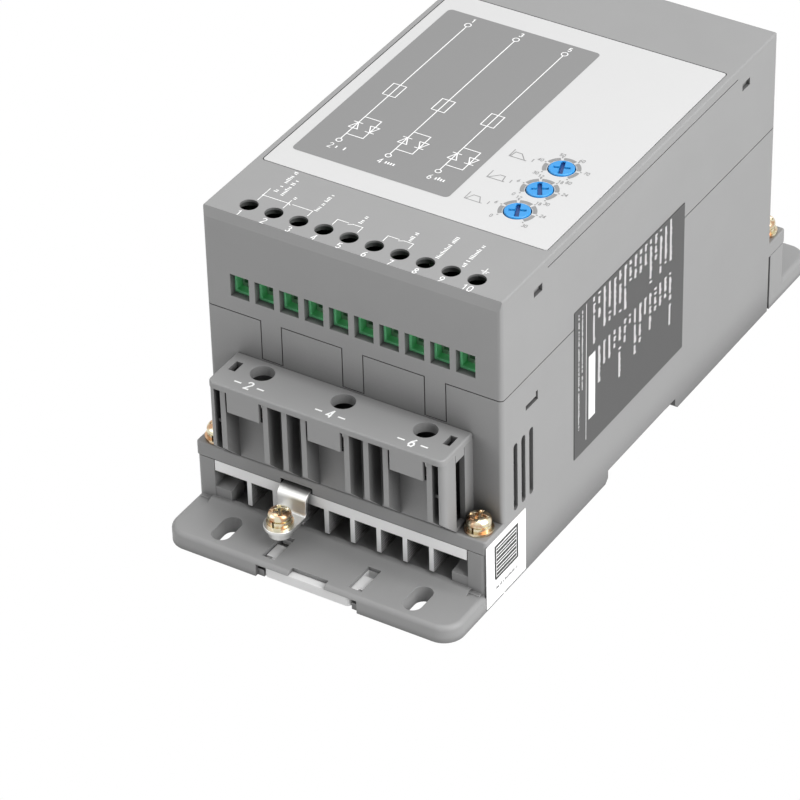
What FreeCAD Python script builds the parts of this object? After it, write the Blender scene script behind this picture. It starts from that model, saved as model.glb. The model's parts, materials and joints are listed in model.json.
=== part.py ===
"""Soft starter for a three-phase motor, lying on its back on its mounting face.

Frame: origin at the bottom centre of the part, +Z out of the mounting face,
+Y from the load end (T1, T2, T3) to the line end, +X to the right.
All sizes are in millimetres.
"""
import FreeCAD
import Part
import math
import os

V = FreeCAD.Vector

# Driving sizes of the enclosure
body_width = 90.0
body_length = 150.0
wall = 2.2
top_wall = 2.4
corner_radius = 1.3
lower_height = 43.75
upper_height = 30.5
seam_gap = 0.3
fit_gap = 0.15
top_edge_drop = 3.0
top_edge_depth = 0.8
top_edge_round = 0.5

# Mounting base and feet
foot_reach = 26.4
foot_thickness = 5.2
foot_corner_radius = 6.0
foot_edge_round = 1.5
post_width = 5.6
post_setback = 1.0
post_corner_radius = 1.8
curb_height = 1.0
curb_flat = 1.2
curb_slope = 1.5
curb_foot_height = 0.4
wedge_width = 5.0
wedge_length = 6.0
wedge_height = 4.2
wedge_rise = 1.0
rail_width = 7.0
rail_setback = 12.0
slot_width = 5.5
slot_travel = 5.2
slot_spacing = 59.6
slot_edge_distance = 8.0

# Rail recess and its sliding clip
rail_recess_width = 35.6
rail_recess_depth = 3.8
rail_recess_relief = 1.2
rail_recess_round = 1.4
rail_hook_thickness = 1.6
rail_hook_bottom = 1.0
rail_hook_reach = 1.2
rail_hook_width = 12.0
clip_width = 26.8
clip_thickness = 3.0
clip_bottom = 0.8
clip_side_gap = 2.3
clip_travel = 4.0
clip_front_setback = 0.4
clip_flange_thickness = 1.4
clip_lip_start = 1.0
clip_running_gap = 0.2
detent_tongue_width = 6.0
detent_tongue_length = 22.0
detent_slit = 1.2
detent_nose_length = 2.0
detent_nose_height = 0.6
detent_setback = 20.0
notch_width = 11.2
notch_depth = 2.6
pocket_width = 4.0
pocket_length = 10.0
pocket_spacing = 27.0
pocket_edge_distance = 3.0
pocket_hole_length = 2.4

# Heat sink
sink_half_width = 39.2
sink_screw_relief = 0.6
fin_pitch = 8.1
fin_count = 8
fin_thickness = 1.4
fin_height = 7.8
fin_floor_gap = 2.0
sink_plate_thickness = 3.4

# Ledge and terminal blocks at both ends
ledge_reach = 9.0
ledge_thickness = 4.2
ledge_gap = 0.2
ledge_edge_round = 0.5
phase_pitch = 25.0
phase_count = 3
block_width = 72.2
block_height = 24.8
block_front = 8.7
block_wall = 1.6
block_post_width = 1.8
rib_reach = 14.4
rib_thickness = 1.6
rib_foot_rise = 5.7
entry_width = 11.6
side_slot_start = 4.2
side_slot_foot = 1.2
wire_hole_width = 8.4
wire_hole_height = 9.5
wire_hole_drop = 1.7
end_bridge_drop = 11.0
end_bridge_height = 1.0

# Snap-on terminal covers
cap_thickness = 1.9
cap_reach = 14.95
cap_corner_radius = 2.0
cap_edge_round = 0.5
flap_width = 10.0
flap_drop = 8.1
flap_thickness = 1.3
end_flap_drop = 2.4
driver_hole_diameter = 6.7
driver_hole_setback = 5.0
driver_collar_wall = 0.9
driver_collar_depth = 1.2
latch_hole_width = 2.1
latch_hole_length = 4.2
latch_hole_inset = 2.2
latch_hole_setback = 3.7

# Tongues of the upper housing
tongue_width = 6.1

# Control terminals
control_pitch = 7.62
control_ways = 10
window_width = 5.8
window_height = 6.9
window_rise = 4.75
driver_bore = 5.0
driver_bore_wall = 0.7
driver_bore_relief = 0.8
driver_bore_setback = 6.3
control_block_depth = 11.0
control_block_height = 18.0
control_entry_width = 4.8
control_entry_height = 5.8
control_entry_depth = 5.0
control_clamp_wall = 0.6
control_screw_diameter = 3.8
control_screw_head = 1.6
control_screw_sink = 3.0

# Front plate and trimmers
plate_setback = 26.3
plate_side_margin = 2.0
plate_thickness = 0.6
plate_gap = 0.3
plate_corner_radius = 0.8
trimmer_count = 3
trimmer_pitch = 11.5
trimmer_first = 38.1
trimmer_x = 27.5
knob_diameter = 7.1
knob_clearance = 0.3
knob_proud = 0.4
knob_rest_gap = 0.05
knob_shaft_diameter = 3.0
knob_shaft_length = 3.4
knob_shaft_clearance = 0.05
knob_slot_width = 0.9
knob_slot_depth = 0.6
knob_slot_length = 4.6
trimmer_size = 9.6
trimmer_height = 4.8

# Openings in the side walls
vent_width = 2.0
vent_wall = 1.0
vent_relief = 1.5
vent_height = 21.5
vent_pitch = 4.05
vent_count = 3
vent_first = 6.5
vent_rise = 4.9
snap_length = 4.3
snap_height = 2.3
snap_start = 16.3
snap_drop = 5.8
snap_arm_thickness = 1.2
snap_arm_root = 12.0
snap_barb_reach = 1.2
rim_step = 0.9
relief_start = 11.9
relief_length = 6.2
relief_height = 1.5
relief_drop = 8.8
relief_leg = 1.0
relief_leg_rise = 1.4
side_line_depth = 0.3
side_line_drop = 2.7
side_line_setback = 23.4

# Labels
label_thickness = 0.2
label_length = 60.0
label_height = 47.6
label_setback = 37.0
label_rise = 1.1
sticker_size = 20.2
sticker_rise = 0.8
sticker_start = 9.0

# Screws that hold the housing to the base
housing_screw_inset = 4.7
housing_screw_setback = 4.4
housing_screw_length = 12.0
screw_diameter = 4.0
screw_head_diameter = 6.8
screw_head_height = 2.5
screw_cross_width = 1.0
screw_cross_depth = 1.3
screw_cross_length = 4.0
spring_washer_diameter = 6.7
spring_washer_thickness = 1.3
spring_washer_gap = 0.6
flat_washer_diameter = 8.0
flat_washer_thickness = 0.9
screw_bore_clearance = 0.15
post_seat_margin = 0.6
post_shadow_gap = 0.2

# Earth terminal
earth_x = -13.2
earth_width = 9.0
earth_sheet = 1.0
earth_seat = 5.0
earth_bend = 1.6
earth_drop = 5.6
earth_reach = 17.5
earth_collar_height = 2.3
earth_collar_diameter = 6.6
earth_head_diameter = 6.4
earth_washer_diameter = 7.5

# Power parts inside
module_width = 20.0
module_length = 92.0
module_flange_length = 10.0
module_height = 22.0
module_flange_thickness = 3.0
module_screw_inset = 5.0
module_screw_length = 6.0
clamp_width = 9.0
clamp_depth = 5.6
clamp_height = 7.0
clamp_wall = 1.2
busbar_rise = 10.2
clamp_screw_head = 5.6
clamp_screw_head_height = 2.2
busbar_width = 8.0
busbar_thickness = 1.6
busbar_slot_gap = 0.4
busbar_land = 8.0
transformer_outer = 18.0
transformer_bore = 11.0
transformer_length = 8.0
transformer_setback = 12.0
board_thickness = 1.6
board_side_gap = 1.8
board_corner_radius = 2.0
pillar_diameter = 5.0
pillar_clearance = 2.2
pillar_inset_y = 3.5
setting_pillar_inset = 8.0
header_width = 5.0
header_length = 20.0
header_pins = 7
header_pin_size = 0.8
header_strip_height = 2.6
power_board_gap = 3.6
relay_width = 19.0
relay_length = 28.0
relay_height = 14.6
relay_setback = 12.0
control_board_length = 62.0
setting_board_width = 40.0
setting_board_length = 36.0

# Positions that follow from the sizes above
half_width = body_width / 2
half_length = body_length / 2
foot_end = half_length + foot_reach
floor_top = foot_thickness
fin_tip = floor_top + fin_floor_gap
sink_plate_bottom = fin_tip + fin_height
sink_top = sink_plate_bottom + sink_plate_thickness
ledge_bottom = sink_top + ledge_gap
ledge_top = ledge_bottom + ledge_thickness
block_top = ledge_top + block_height
cap_top = block_top + cap_thickness
seam = ledge_bottom + lower_height
top = seam + upper_height
ledge_end = half_length + ledge_reach
rib_end = half_length + rib_reach
cap_end = half_length + cap_reach
block_end = half_length + block_front
inner_half = half_width - wall
recess_half = rail_recess_width / 2
clip_top = clip_bottom + clip_thickness
module_body_length = module_length - 2 * module_flange_length
pillar_x = phase_pitch * (phase_count - 1) / 2 + busbar_width / 2 + pillar_clearance + pillar_diameter / 2
housing_screw_x = half_width - housing_screw_inset
channel_top = clip_top + fit_gap
channel_half = clip_width / 2 + clip_side_gap
phase_x = [(index - (phase_count - 1) / 2) * phase_pitch for index in range(phase_count)]
control_x = [(index - (control_ways - 1) / 2) * control_pitch for index in range(control_ways)]
trimmer_y = [trimmer_first - half_length + index * trimmer_pitch for index in range(trimmer_count)]
window_bottom = seam + window_rise
window_mid = window_bottom + window_height / 2
plate_half_width = half_width - plate_side_margin
plate_half_length = half_length - plate_setback
plate_bottom = top - plate_thickness
power_board_bottom = sink_top + module_height + power_board_gap
power_board_top = power_board_bottom + board_thickness
control_board_bottom = window_bottom - 4 * board_thickness
control_board_top = control_board_bottom + board_thickness
trimmer_top = top - top_wall - fit_gap
knob_top = top + knob_proud
knob_bottom = trimmer_top + knob_rest_gap
setting_board_top = trimmer_top - trimmer_height
setting_board_bottom = setting_board_top - board_thickness
busbar_bottom = ledge_top + busbar_rise
busbar_top = busbar_bottom + busbar_thickness
clamp_mid = half_length + (block_front - block_wall) / 2
clamp_top = busbar_top + clamp_height
board_x = inner_half - board_side_gap
board_y = half_length - wall - board_side_gap
washer_stack = flat_washer_thickness + spring_washer_thickness
detent_nose_start = -recess_half - detent_setback - detent_tongue_length
screw_bore = screw_diameter + 2 * screw_bore_clearance
knob_hole = knob_diameter + 2 * knob_clearance


def block(x0, x1, y0, y1, z0, z1):
    """Box between two corners."""
    return Part.makeBox(x1 - x0, y1 - y0, z1 - z0, V(x0, y0, z0))


def centred(width, y0, y1, z0, z1, x=0.0):
    """Box of a given width about an X position."""
    return block(x - width / 2, x + width / 2, y0, y1, z0, z1)


def rod(x, y, z0, z1, diameter):
    """Upright round bar."""
    return Part.makeCylinder(diameter / 2, z1 - z0, V(x, y, z0))


def prism_x(points, x0, x1):
    """Outline of (y, z) points carried along X."""
    wire = Part.makePolygon([V(x0, y, z) for y, z in points + points[:1]])
    return Part.Face(wire).extrude(V(x1 - x0, 0, 0))


def prism_z(points, z0, z1):
    """Outline of (x, y) points carried up Z."""
    wire = Part.makePolygon([V(x, y, z0) for x, y in points + points[:1]])
    return Part.Face(wire).extrude(V(0, 0, z1 - z0))


def slot_hole(x, y, width, travel, z0, z1):
    """Round-ended slot along Y, as a solid to cut away."""
    middle = centred(width, y - travel / 2, y + travel / 2, z0, z1, x)
    ends = [rod(x, y + side * travel / 2, z0, z1, width) for side in (-1, 1)]
    return middle.fuse(ends).removeSplitter()


def flipped(shape):
    """Copy of a load-end shape at the line end."""
    return shape.mirror(V(0, 0, 0), V(0, 1, 0))


def mirrored(shape):
    """Copy of a right-hand shape on the left."""
    return shape.mirror(V(0, 0, 0), V(1, 0, 0))


def both_ends(shapes):
    """Shapes of the load end and their copies at the line end."""
    return shapes + [flipped(shape) for shape in shapes]


def both_sides(shapes):
    """Shapes of the right side and their copies on the left."""
    return shapes + [mirrored(shape) for shape in shapes]


def is_upright(edge):
    """True for a straight edge along Z."""
    first = edge.Vertexes[0].Point
    last = edge.Vertexes[-1].Point
    return abs(first.x - last.x) < 1e-6 and abs(first.y - last.y) < 1e-6


def rounded(shape, radius, chosen):
    """Shape with a fillet on the edges that a test picks."""
    return shape.makeFillet(radius, [edge for edge in shape.Edges if chosen(edge)])


def rounded_box(x, y, z0, z1, radius):
    """Box about the origin with its four upright corners rounded."""
    plain = block(-x, x, -y, y, z0, z1)
    return rounded(plain, radius, is_upright)


def group(shapes):
    """Separate solids kept together in one file."""
    return Part.makeCompound(shapes)


def mounting_base():
    """Moulded base: feet, posts, curb, floor rails, rail recess and clip channel."""
    plate = rounded_box(half_width, foot_end, 0, foot_thickness, foot_corner_radius)
    plate = rounded(plate, foot_edge_round, lambda edge: edge.BoundBox.ZMin > foot_thickness - 1e-6)
    side_clear = inner_half - fit_gap
    end_clear = half_length + fit_gap
    trim = block(side_clear, half_width + 1, -end_clear, end_clear, -1, foot_thickness + 1)
    base = plate.cut(both_sides([trim]))

    post_inner = half_width - post_width
    post_top = ledge_bottom - post_shadow_gap
    floor = floor_top - foot_edge_round
    post = block(post_inner, half_width, -ledge_end, -end_clear, floor, post_top)
    post = rounded(post, post_corner_radius, lambda edge: is_upright(edge)
                   and edge.BoundBox.XMin > half_width - 1e-6 and edge.BoundBox.YMax < -ledge_end + 1e-6)
    sink_edge = sink_half_width + ledge_gap
    seat = block(sink_edge, half_width - post_seat_margin, -ledge_end + post_setback,
                 -end_clear, post_top - wall, ledge_bottom)
    rail_start = -half_length + rail_setback
    link = block(sink_edge, side_clear, -end_clear, rail_start, floor, post_top - wall)
    rail = block(inner_half - rail_width, side_clear, rail_start, 0, floor, sink_plate_bottom)
    curb_top = -ledge_end - curb_flat
    curb = prism_x(
        [
            (curb_top - curb_slope, floor),
            (curb_top - curb_slope, floor_top),
            (curb_top, floor_top + curb_height),
            (-ledge_end + post_setback, floor_top + curb_height),
            (-ledge_end + post_setback, floor),
        ],
        -post_inner - post_setback,
        post_inner + post_setback,
    )
    sill = block(sink_edge, half_width - foot_edge_round, curb_top, -ledge_end + post_setback, floor,
                 floor_top + curb_foot_height)
    wedge_front = -ledge_end + ledge_gap
    wedge_back = wedge_front + wedge_length
    wedge = prism_x(
        [
            (wedge_front, floor),
            (wedge_front, floor_top + wedge_height),
            (wedge_back, floor_top + wedge_height + wedge_rise),
            (wedge_back, floor),
        ],
        sink_edge - wedge_width,
        sink_edge + fit_gap,
    )
    end = [curb] + both_sides([post, seat, link, rail, sill, wedge])
    base = base.fuse(both_ends(end)).removeSplitter()

    cuts = [block(-half_width - 1, half_width + 1, -recess_half, recess_half, -1, rail_recess_depth)]
    for side in (-1, 1):
        hole = slot_hole(side * slot_spacing / 2, -foot_end + slot_edge_distance, slot_width, slot_travel,
                         -1, foot_thickness + 1)
        cuts += both_ends([hole])
    for x, y in housing_screw_points():
        cuts.append(rod(x, y, housing_screw_tip() - fit_gap, ledge_bottom + 1, screw_diameter))

    channel = block(-channel_half, channel_half, -foot_end - 1, -recess_half, -1, channel_top)
    cuts.append(channel)
    notch = centred(notch_width, -foot_end - 1, -foot_end + notch_depth, 0, foot_thickness + 1)
    cuts.append(notch)
    pocket_y = -foot_end + pocket_edge_distance
    for side in (-1, 1):
        cuts.append(centred(pocket_width, pocket_y, pocket_y + pocket_length, channel_top - 1, floor_top + 1,
                            side * pocket_spacing / 2))
    base = base.cut(cuts)

    groove = centred(detent_tongue_width, detent_nose_start - clip_travel - clip_running_gap,
                     detent_nose_start + detent_nose_length + clip_running_gap,
                     channel_top - 1, channel_top + detent_nose_height)
    base = base.cut(groove)

    lip_height = clip_top - clip_flange_thickness - clip_running_gap
    lip_start = -foot_end + clip_lip_start
    lip = block(clip_width / 2 + clip_running_gap, channel_half, lip_start, -recess_half, 0, lip_height)
    hook = centred(rail_hook_width, recess_half - rail_hook_reach, recess_half + wall,
                   rail_hook_bottom, rail_hook_bottom + rail_hook_thickness, half_width / 2)
    return base.fuse(both_sides([lip, hook])).removeSplitter()


def din_clip():
    """Sliding clip for a 35 mm rail: pull bar, hook, guide flanges and detent tongue."""
    front = -foot_end + clip_front_setback
    bar = centred(clip_width, front, -recess_half, clip_bottom, clip_top)
    bar = rounded(bar, foot_edge_round, lambda edge: is_upright(edge) and edge.BoundBox.YMin < front + 1e-6)
    flange_half = channel_half - clip_running_gap
    flange_start = -foot_end + clip_lip_start + clip_travel + clip_running_gap
    flange_bottom = clip_top - clip_flange_thickness
    flange = block(-flange_half, flange_half, flange_start, -recess_half, flange_bottom, clip_top)
    hook = centred(clip_width, -recess_half - 1, -recess_half + rail_hook_reach,
                   rail_hook_bottom, rail_hook_bottom + rail_hook_thickness)
    nose = centred(detent_tongue_width - 2 * clip_running_gap, detent_nose_start,
                   detent_nose_start + detent_nose_length, clip_top - 1, clip_top + detent_nose_height)
    clip = bar.fuse([flange, hook, nose]).removeSplitter()
    slit_start = detent_nose_start - detent_slit
    slit_end = detent_nose_start + detent_tongue_length
    half = detent_tongue_width / 2
    outer = half + detent_slit
    slit_front = block(-outer, outer, slit_start, detent_nose_start, 0, clip_top + 1)
    side = block(half, outer, slit_start, slit_end, 0, clip_top + 1)
    catch_end = -foot_end + pocket_edge_distance + pocket_length
    catch_x = (pocket_spacing - pocket_width) / 2
    catch = block(catch_x, flange_half + 1, catch_end - pocket_hole_length, catch_end, 0, clip_top + 1)
    return clip.cut([slit_front] + both_sides([side, catch]))


def heat_sink():
    """Extruded aluminium: a plate with fins that point to the mounting face."""
    plate = block(-sink_half_width, sink_half_width, -ledge_end, ledge_end, sink_plate_bottom, sink_top)
    first = -(fin_count - 1) / 2 * fin_pitch
    fins = [
        centred(fin_thickness, -ledge_end, ledge_end, fin_tip, sink_plate_bottom, first + index * fin_pitch)
        for index in range(fin_count)
    ]
    sink = plate.fuse(fins).removeSplitter()
    cuts = [rod(x, y, fin_tip, sink_top + 1, screw_diameter) for x, y in module_screw_points()]
    relief = screw_diameter + 2 * sink_screw_relief
    cuts += [rod(x, y, sink_plate_bottom - 1, sink_top + 1, relief) for x, y in housing_screw_points()]
    return sink.cut(cuts)


def ledge():
    """Shelf across one end that carries the terminal block and the housing screws."""
    shelf = block(-half_width, half_width, -ledge_end, -half_length + wall, ledge_bottom, ledge_top)
    front = [edge for edge in shelf.Edges if is_upright(edge) and edge.BoundBox.YMax < -ledge_end + 1e-6]
    shelf = shelf.makeFillet(2 * ledge_edge_round, front)
    rim = [edge for edge in shelf.Edges
           if edge.BoundBox.ZMin > ledge_top - 1e-6 and edge.BoundBox.YMax < -half_length]
    return shelf.makeFillet(ledge_edge_round, rim)


def rib_positions():
    """Left edge and width of each rib on the front of a terminal block."""
    ribs = []
    for x in phase_x:
        ribs.append((x - entry_width / 2 - rib_thickness, rib_thickness))
        ribs.append((x + entry_width / 2, rib_thickness))
    for left, right in zip(phase_x, phase_x[1:]):
        ribs.append(((left + right - rib_thickness) / 2, rib_thickness))
    return ribs


def terminal_block():
    """Finger-safe block of one end: walls, partitions and ribs over the wire entries."""
    half = block_width / 2
    shell = block(-half, half, -block_end, -half_length, ledge_top, block_top)
    ribs = [block(x, x + width, -rib_end, -block_end, ledge_top, block_top) for x, width in rib_positions()]
    post = block(half - block_post_width, half, -rib_end, -block_end, ledge_top, block_top)
    post = rounded(post, block_post_width - fit_gap, lambda edge: is_upright(edge)
                   and edge.BoundBox.YMax < -rib_end + 1e-6 and edge.BoundBox.XMin > half - 1e-6)
    posts = both_sides([post])
    x_last = phase_x[-1] + entry_width / 2 + rib_thickness
    bridge_top = block_top - end_bridge_drop
    bridge = block(x_last, half - block_post_width, -rib_end + rib_thickness, -block_end,
                   bridge_top - end_bridge_height, bridge_top)
    solid = shell.fuse(ribs + posts + both_sides([bridge])).removeSplitter()

    cuts = []
    chamber = phase_pitch - block_wall
    for x in phase_x:
        left = max(x - chamber / 2, -half + block_wall)
        right = min(x + chamber / 2, half - block_wall)
        cuts.append(block(left, right, -block_end + block_wall, -half_length, ledge_top, block_top + 1))
        hole_top = block_top - wire_hole_drop
        cuts.append(centred(wire_hole_width, -block_end - 1, -block_end + block_wall + 1,
                            hole_top - wire_hole_height, hole_top, x))
    side_slot = block(half - block_wall - 1, half + 1, -block_end, -half_length - side_slot_start,
                      ledge_top + side_slot_foot, block_top + 1)
    cuts += both_sides([side_slot])
    undercut = prism_x(
        [(-rib_end - 1, ledge_top - 1), (-rib_end - 1, ledge_top + rib_foot_rise + 1),
         (-rib_end, ledge_top + rib_foot_rise), (-block_end, ledge_top), (-block_end, ledge_top - 1)],
        -half - 1,
        half + 1,
    )
    cuts.append(undercut)
    return solid.cut(cuts)


def lower_housing():
    """Moulded frame: four walls, ledges, terminal blocks, vents and panels between the tongues."""
    outer = rounded_box(half_width, half_length, 0, seam, corner_radius)
    cavity = block(-inner_half, inner_half, -half_length + wall, half_length - wall, -1, seam + 1)
    under = block(-inner_half, inner_half, -half_length - 1, half_length + 1, -1, ledge_bottom)
    lip = rounded_box(half_width - rim_step, half_length - rim_step, seam - seam_gap, seam + 1,
                      corner_radius - rim_step)
    rim = block(-half_width, half_width, -half_length, half_length, seam - seam_gap, seam)
    frame = outer.cut([cavity, under, rim.cut(lip)])
    snap_y = -half_length + snap_start + fit_gap
    snap_end = snap_y + snap_length - 2 * fit_gap
    snap_z = top - snap_drop - fit_gap
    arm_x = inner_half - fit_gap
    arm = block(arm_x - snap_arm_thickness, arm_x, snap_y, snap_end, seam - snap_arm_root, snap_z)
    root = block(arm_x - snap_arm_thickness, inner_half + 1, snap_y, snap_end, seam - snap_arm_root,
                 seam - snap_arm_root / 2)
    barb = prism_x([(snap_y, snap_z), (snap_end, snap_z), (snap_end, snap_z - snap_height + 2 * fit_gap),
                    (snap_y, snap_z - snap_height + 2 * fit_gap)], arm_x, inner_half + snap_barb_reach)
    hooks = both_ends(both_sides([arm, root, barb]))
    frame = frame.fuse(both_ends([ledge(), terminal_block()]) + hooks).removeSplitter()

    mouth = recess_half + rail_recess_relief
    opening = block(-half_width - 1, half_width + 1, -mouth, mouth, -1, rail_recess_depth)
    lead = mouth + rail_recess_round
    mouth_taper = prism_x([(-lead, -1), (-lead, 0), (-mouth, rail_recess_round), (mouth, rail_recess_round),
                           (lead, 0), (lead, -1)], -half_width - 1, half_width + 1)
    cuts = [opening, mouth_taper]
    for x in phase_x:
        gap = centred(tongue_width + 2 * seam_gap, -half_length - 1, -half_length + wall + 1,
                      cap_top + seam_gap, seam + 1, x)
        bar = centred(busbar_width + 2 * busbar_slot_gap, -half_length - 1, -half_length + wall + 1,
                      busbar_bottom - busbar_slot_gap, busbar_top + busbar_slot_gap, x)
        cuts += both_ends([gap, bar])
    vents = []
    for index in range(vent_count):
        y = -half_length + vent_first + index * vent_pitch
        z0 = ledge_bottom + vent_rise + vent_width / 2
        z1 = z0 + vent_height - vent_width
        vents.append(block(inner_half - 1, half_width + 1, y - vent_width / 2, y + vent_width / 2, z0, z1))
        for z in (z0, z1):
            vents.append(Part.makeCylinder(vent_width / 2, wall + 2, V(inner_half - 1, y, z), V(1, 0, 0)))
    vent_y = -half_length + vent_first + (vent_count - 1) / 2 * vent_pitch
    vent_z = ledge_bottom + vent_rise + vent_height / 2
    reach_y = (vent_count - 1) / 2 * vent_pitch + vent_width / 2 + vent_relief
    reach_z = vent_height / 2 + vent_relief
    vents.append(block(inner_half - 1, half_width - vent_wall, vent_y - reach_y, vent_y + reach_y,
                       vent_z - reach_z, vent_z + reach_z))
    relief_y = -half_length + relief_start
    relief_z = seam - relief_drop
    leg_y = relief_y + relief_length
    relief_x = half_width - wall / 2
    vents.append(block(relief_x, half_width + 1, relief_y, leg_y, relief_z - relief_height, relief_z))
    leg_top = relief_z + relief_leg_rise
    vents.append(block(relief_x, half_width + 1, leg_y - relief_leg, leg_y, relief_z - 1, leg_top))
    cuts += both_sides(vents)
    for x, y in housing_screw_points():
        cuts.append(rod(x, y, ledge_bottom - 1, ledge_top + 1, screw_bore))
    tab = centred(earth_width + 1, -ledge_end - 1, -ledge_end + earth_seat + 1,
                  ledge_bottom - 1, sink_top + 2 * earth_sheet, earth_x)
    cuts.append(tab)
    return frame.cut(cuts)


def upper_housing():
    """Moulded lid with ten windows, ten driver holes, six tongues and the plate recess."""
    outer = rounded_box(half_width, half_length, seam, top, corner_radius)
    edge_y = -half_length + top_edge_depth
    front_edge = prism_x(
        [(-half_length - 1, top + 1), (-half_length - 1, top - top_edge_drop),
         (-half_length, top - top_edge_drop), (edge_y, top), (edge_y, top + 1)],
        -half_width - 1,
        half_width + 1,
    )
    outer = outer.cut(both_ends([front_edge]))
    rim = [edge for edge in outer.Edges if edge.BoundBox.ZMin > top - 1e-6
           and abs(edge.BoundBox.XMin - edge.BoundBox.XMax) < 1e-6]
    outer = outer.makeFillet(top_edge_round, rim)
    inner_y = half_length - wall
    cavity = block(-inner_half, inner_half, -inner_y, inner_y, seam - 1, top - top_wall)
    shell = outer.cut(cavity)
    tongues = []
    for x in phase_x:
        tongue = centred(tongue_width, -half_length, -half_length + wall,
                         cap_top + 2 * seam_gap, seam + 1, x)
        tongues += both_ends([tongue])
    shell = shell.fuse(tongues).removeSplitter()

    cuts = []
    for x in control_x:
        cuts.append(centred(window_width, -half_length - 1, -half_length + wall + 1,
                            window_bottom, window_bottom + window_height, x))
        bore_y = -half_length + driver_bore_setback
        cuts.append(rod(x, bore_y, top - top_wall - 1, top + 1, driver_bore))
        cuts.append(rod(x, bore_y, top - top_wall - 1, top - driver_bore_wall,
                        driver_bore + 2 * driver_bore_relief))
    recess = rounded_box(plate_half_width + plate_gap, plate_half_length + plate_gap, plate_bottom, top + 1,
                         plate_corner_radius + plate_gap)
    cuts.append(recess)
    for y in trimmer_y:
        cuts.append(rod(trimmer_x, y, top - top_wall - 1, top, knob_hole))
    snap_y = -half_length + snap_start
    snap_z = top - snap_drop
    snap_x = inner_half - 1
    snap = block(snap_x, half_width + 1, snap_y, snap_y + snap_length, snap_z - snap_height, snap_z)
    line_end = half_length - side_line_setback
    line_z = top - side_line_drop
    line_x = half_width - side_line_depth
    line = block(line_x, half_width + 1, -line_end, line_end, line_z - side_line_depth, line_z)
    cuts += both_ends(both_sides([snap])) + both_sides([line])
    return shell.cut(cuts)


def front_plate():
    """Printed plate that lies in the recess of the lid and frames the trimmers."""
    plate = rounded_box(plate_half_width, plate_half_length, plate_bottom, top, plate_corner_radius)
    holes = [rod(trimmer_x, y, plate_bottom - 1, top + 1, knob_hole) for y in trimmer_y]
    return plate.cut(holes)


def terminal_cover():
    """Snap-on cover of the load end: cap, driver collars, wire flaps and end flaps."""
    half = block_width / 2
    front = -cap_end
    back = -half_length - fit_gap
    bore_y = -half_length - driver_hole_setback
    cap = block(-half, half, front, back, block_top, cap_top)
    cap = rounded(cap, cap_corner_radius, lambda edge: is_upright(edge)
                  and edge.BoundBox.YMax < front + 1e-6)
    cap = rounded(cap, cap_edge_round, lambda edge: edge.BoundBox.ZMin > cap_top - 1e-6
                  and edge.BoundBox.YMax < back - 1e-6)
    collar_bottom = block_top - driver_collar_depth
    inside = -block_end + block_wall + fit_gap
    chamber = block(-half, half, inside, back, collar_bottom, cap_top - cap_thickness / 2)
    extra = []
    for x in phase_x:
        extra.append(centred(flap_width, front, front + flap_thickness, cap_top - flap_drop,
                             cap_top - cap_thickness / 2, x))
        collar = rod(x, bore_y, collar_bottom, cap_top, driver_hole_diameter + 2 * driver_collar_wall)
        extra.append(collar.common(chamber))
    flap_end = -half_length - side_slot_start - fit_gap
    end_flap = block(half - block_wall, half, -block_end + fit_gap, flap_end,
                     block_top - end_flap_drop, block_top + cap_thickness / 2)
    cover = cap.fuse(extra + both_sides([end_flap])).removeSplitter()
    cuts = [rod(x, bore_y, collar_bottom - 1, cap_top + 1, driver_hole_diameter) for x in phase_x]
    latch_x = half - latch_hole_inset - latch_hole_width
    latch_y = -half_length - latch_hole_setback
    latch = block(latch_x, latch_x + latch_hole_width, latch_y - latch_hole_length, latch_y,
                  block_top - 1, cap_top + 1)
    return cover.cut(cuts + both_sides([latch]))


def terminal_clamps():
    """Three box clamps that stand on the busbars behind the wire entries."""
    y0 = -clamp_mid - clamp_depth / 2
    y1 = -clamp_mid + clamp_depth / 2
    clamps = []
    for x in phase_x:
        cage = centred(clamp_width, y0, y1, busbar_top, clamp_top, x)
        hole = centred(clamp_width - 2 * clamp_wall, y0 - 1, y1 + 1, busbar_top + clamp_wall,
                       clamp_top - 2 * clamp_wall, x)
        bore = rod(x, -clamp_mid, clamp_top - 3 * clamp_wall, clamp_top + 1, screw_diameter)
        clamps.append(cage.cut([hole, bore]))
    return group(clamps)


def terminal_screws():
    """Three clamp screws under the driver holes of the load end."""
    screws = []
    head_top = clamp_top + clamp_screw_head_height
    for x in phase_x:
        shank = rod(x, -clamp_mid, clamp_top - 3 * clamp_wall, clamp_top, screw_diameter)
        head = rod(x, -clamp_mid, clamp_top, head_top, clamp_screw_head)
        slot = centred(screw_cross_width, -clamp_mid - clamp_screw_head, -clamp_mid + clamp_screw_head,
                       head_top - screw_cross_depth, head_top + 1, x)
        screws.append(shank.fuse(head).removeSplitter().cut(slot))
    return group(screws)


def busbars():
    """Three copper straps from the clamps of the load end to the power modules."""
    y_out = -clamp_mid - clamp_depth / 2
    y_rise = -module_body_length / 2 - 2 * busbar_thickness
    y_land = -module_body_length / 2 + busbar_land
    land = sink_top + module_height
    outline = [
        (y_out, busbar_bottom),
        (y_rise + busbar_thickness, busbar_bottom),
        (y_rise + busbar_thickness, land),
        (y_land, land),
        (y_land, land + busbar_thickness),
        (y_rise, land + busbar_thickness),
        (y_rise, busbar_top),
        (y_out, busbar_top),
    ]
    return group([prism_x(outline, x - busbar_width / 2, x + busbar_width / 2) for x in phase_x])


def module_screw_points():
    """Plan positions of the six screws that hold the power modules."""
    y = module_length / 2 - module_screw_inset
    return [(x, side * y) for x in phase_x for side in (-1, 1)]


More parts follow.
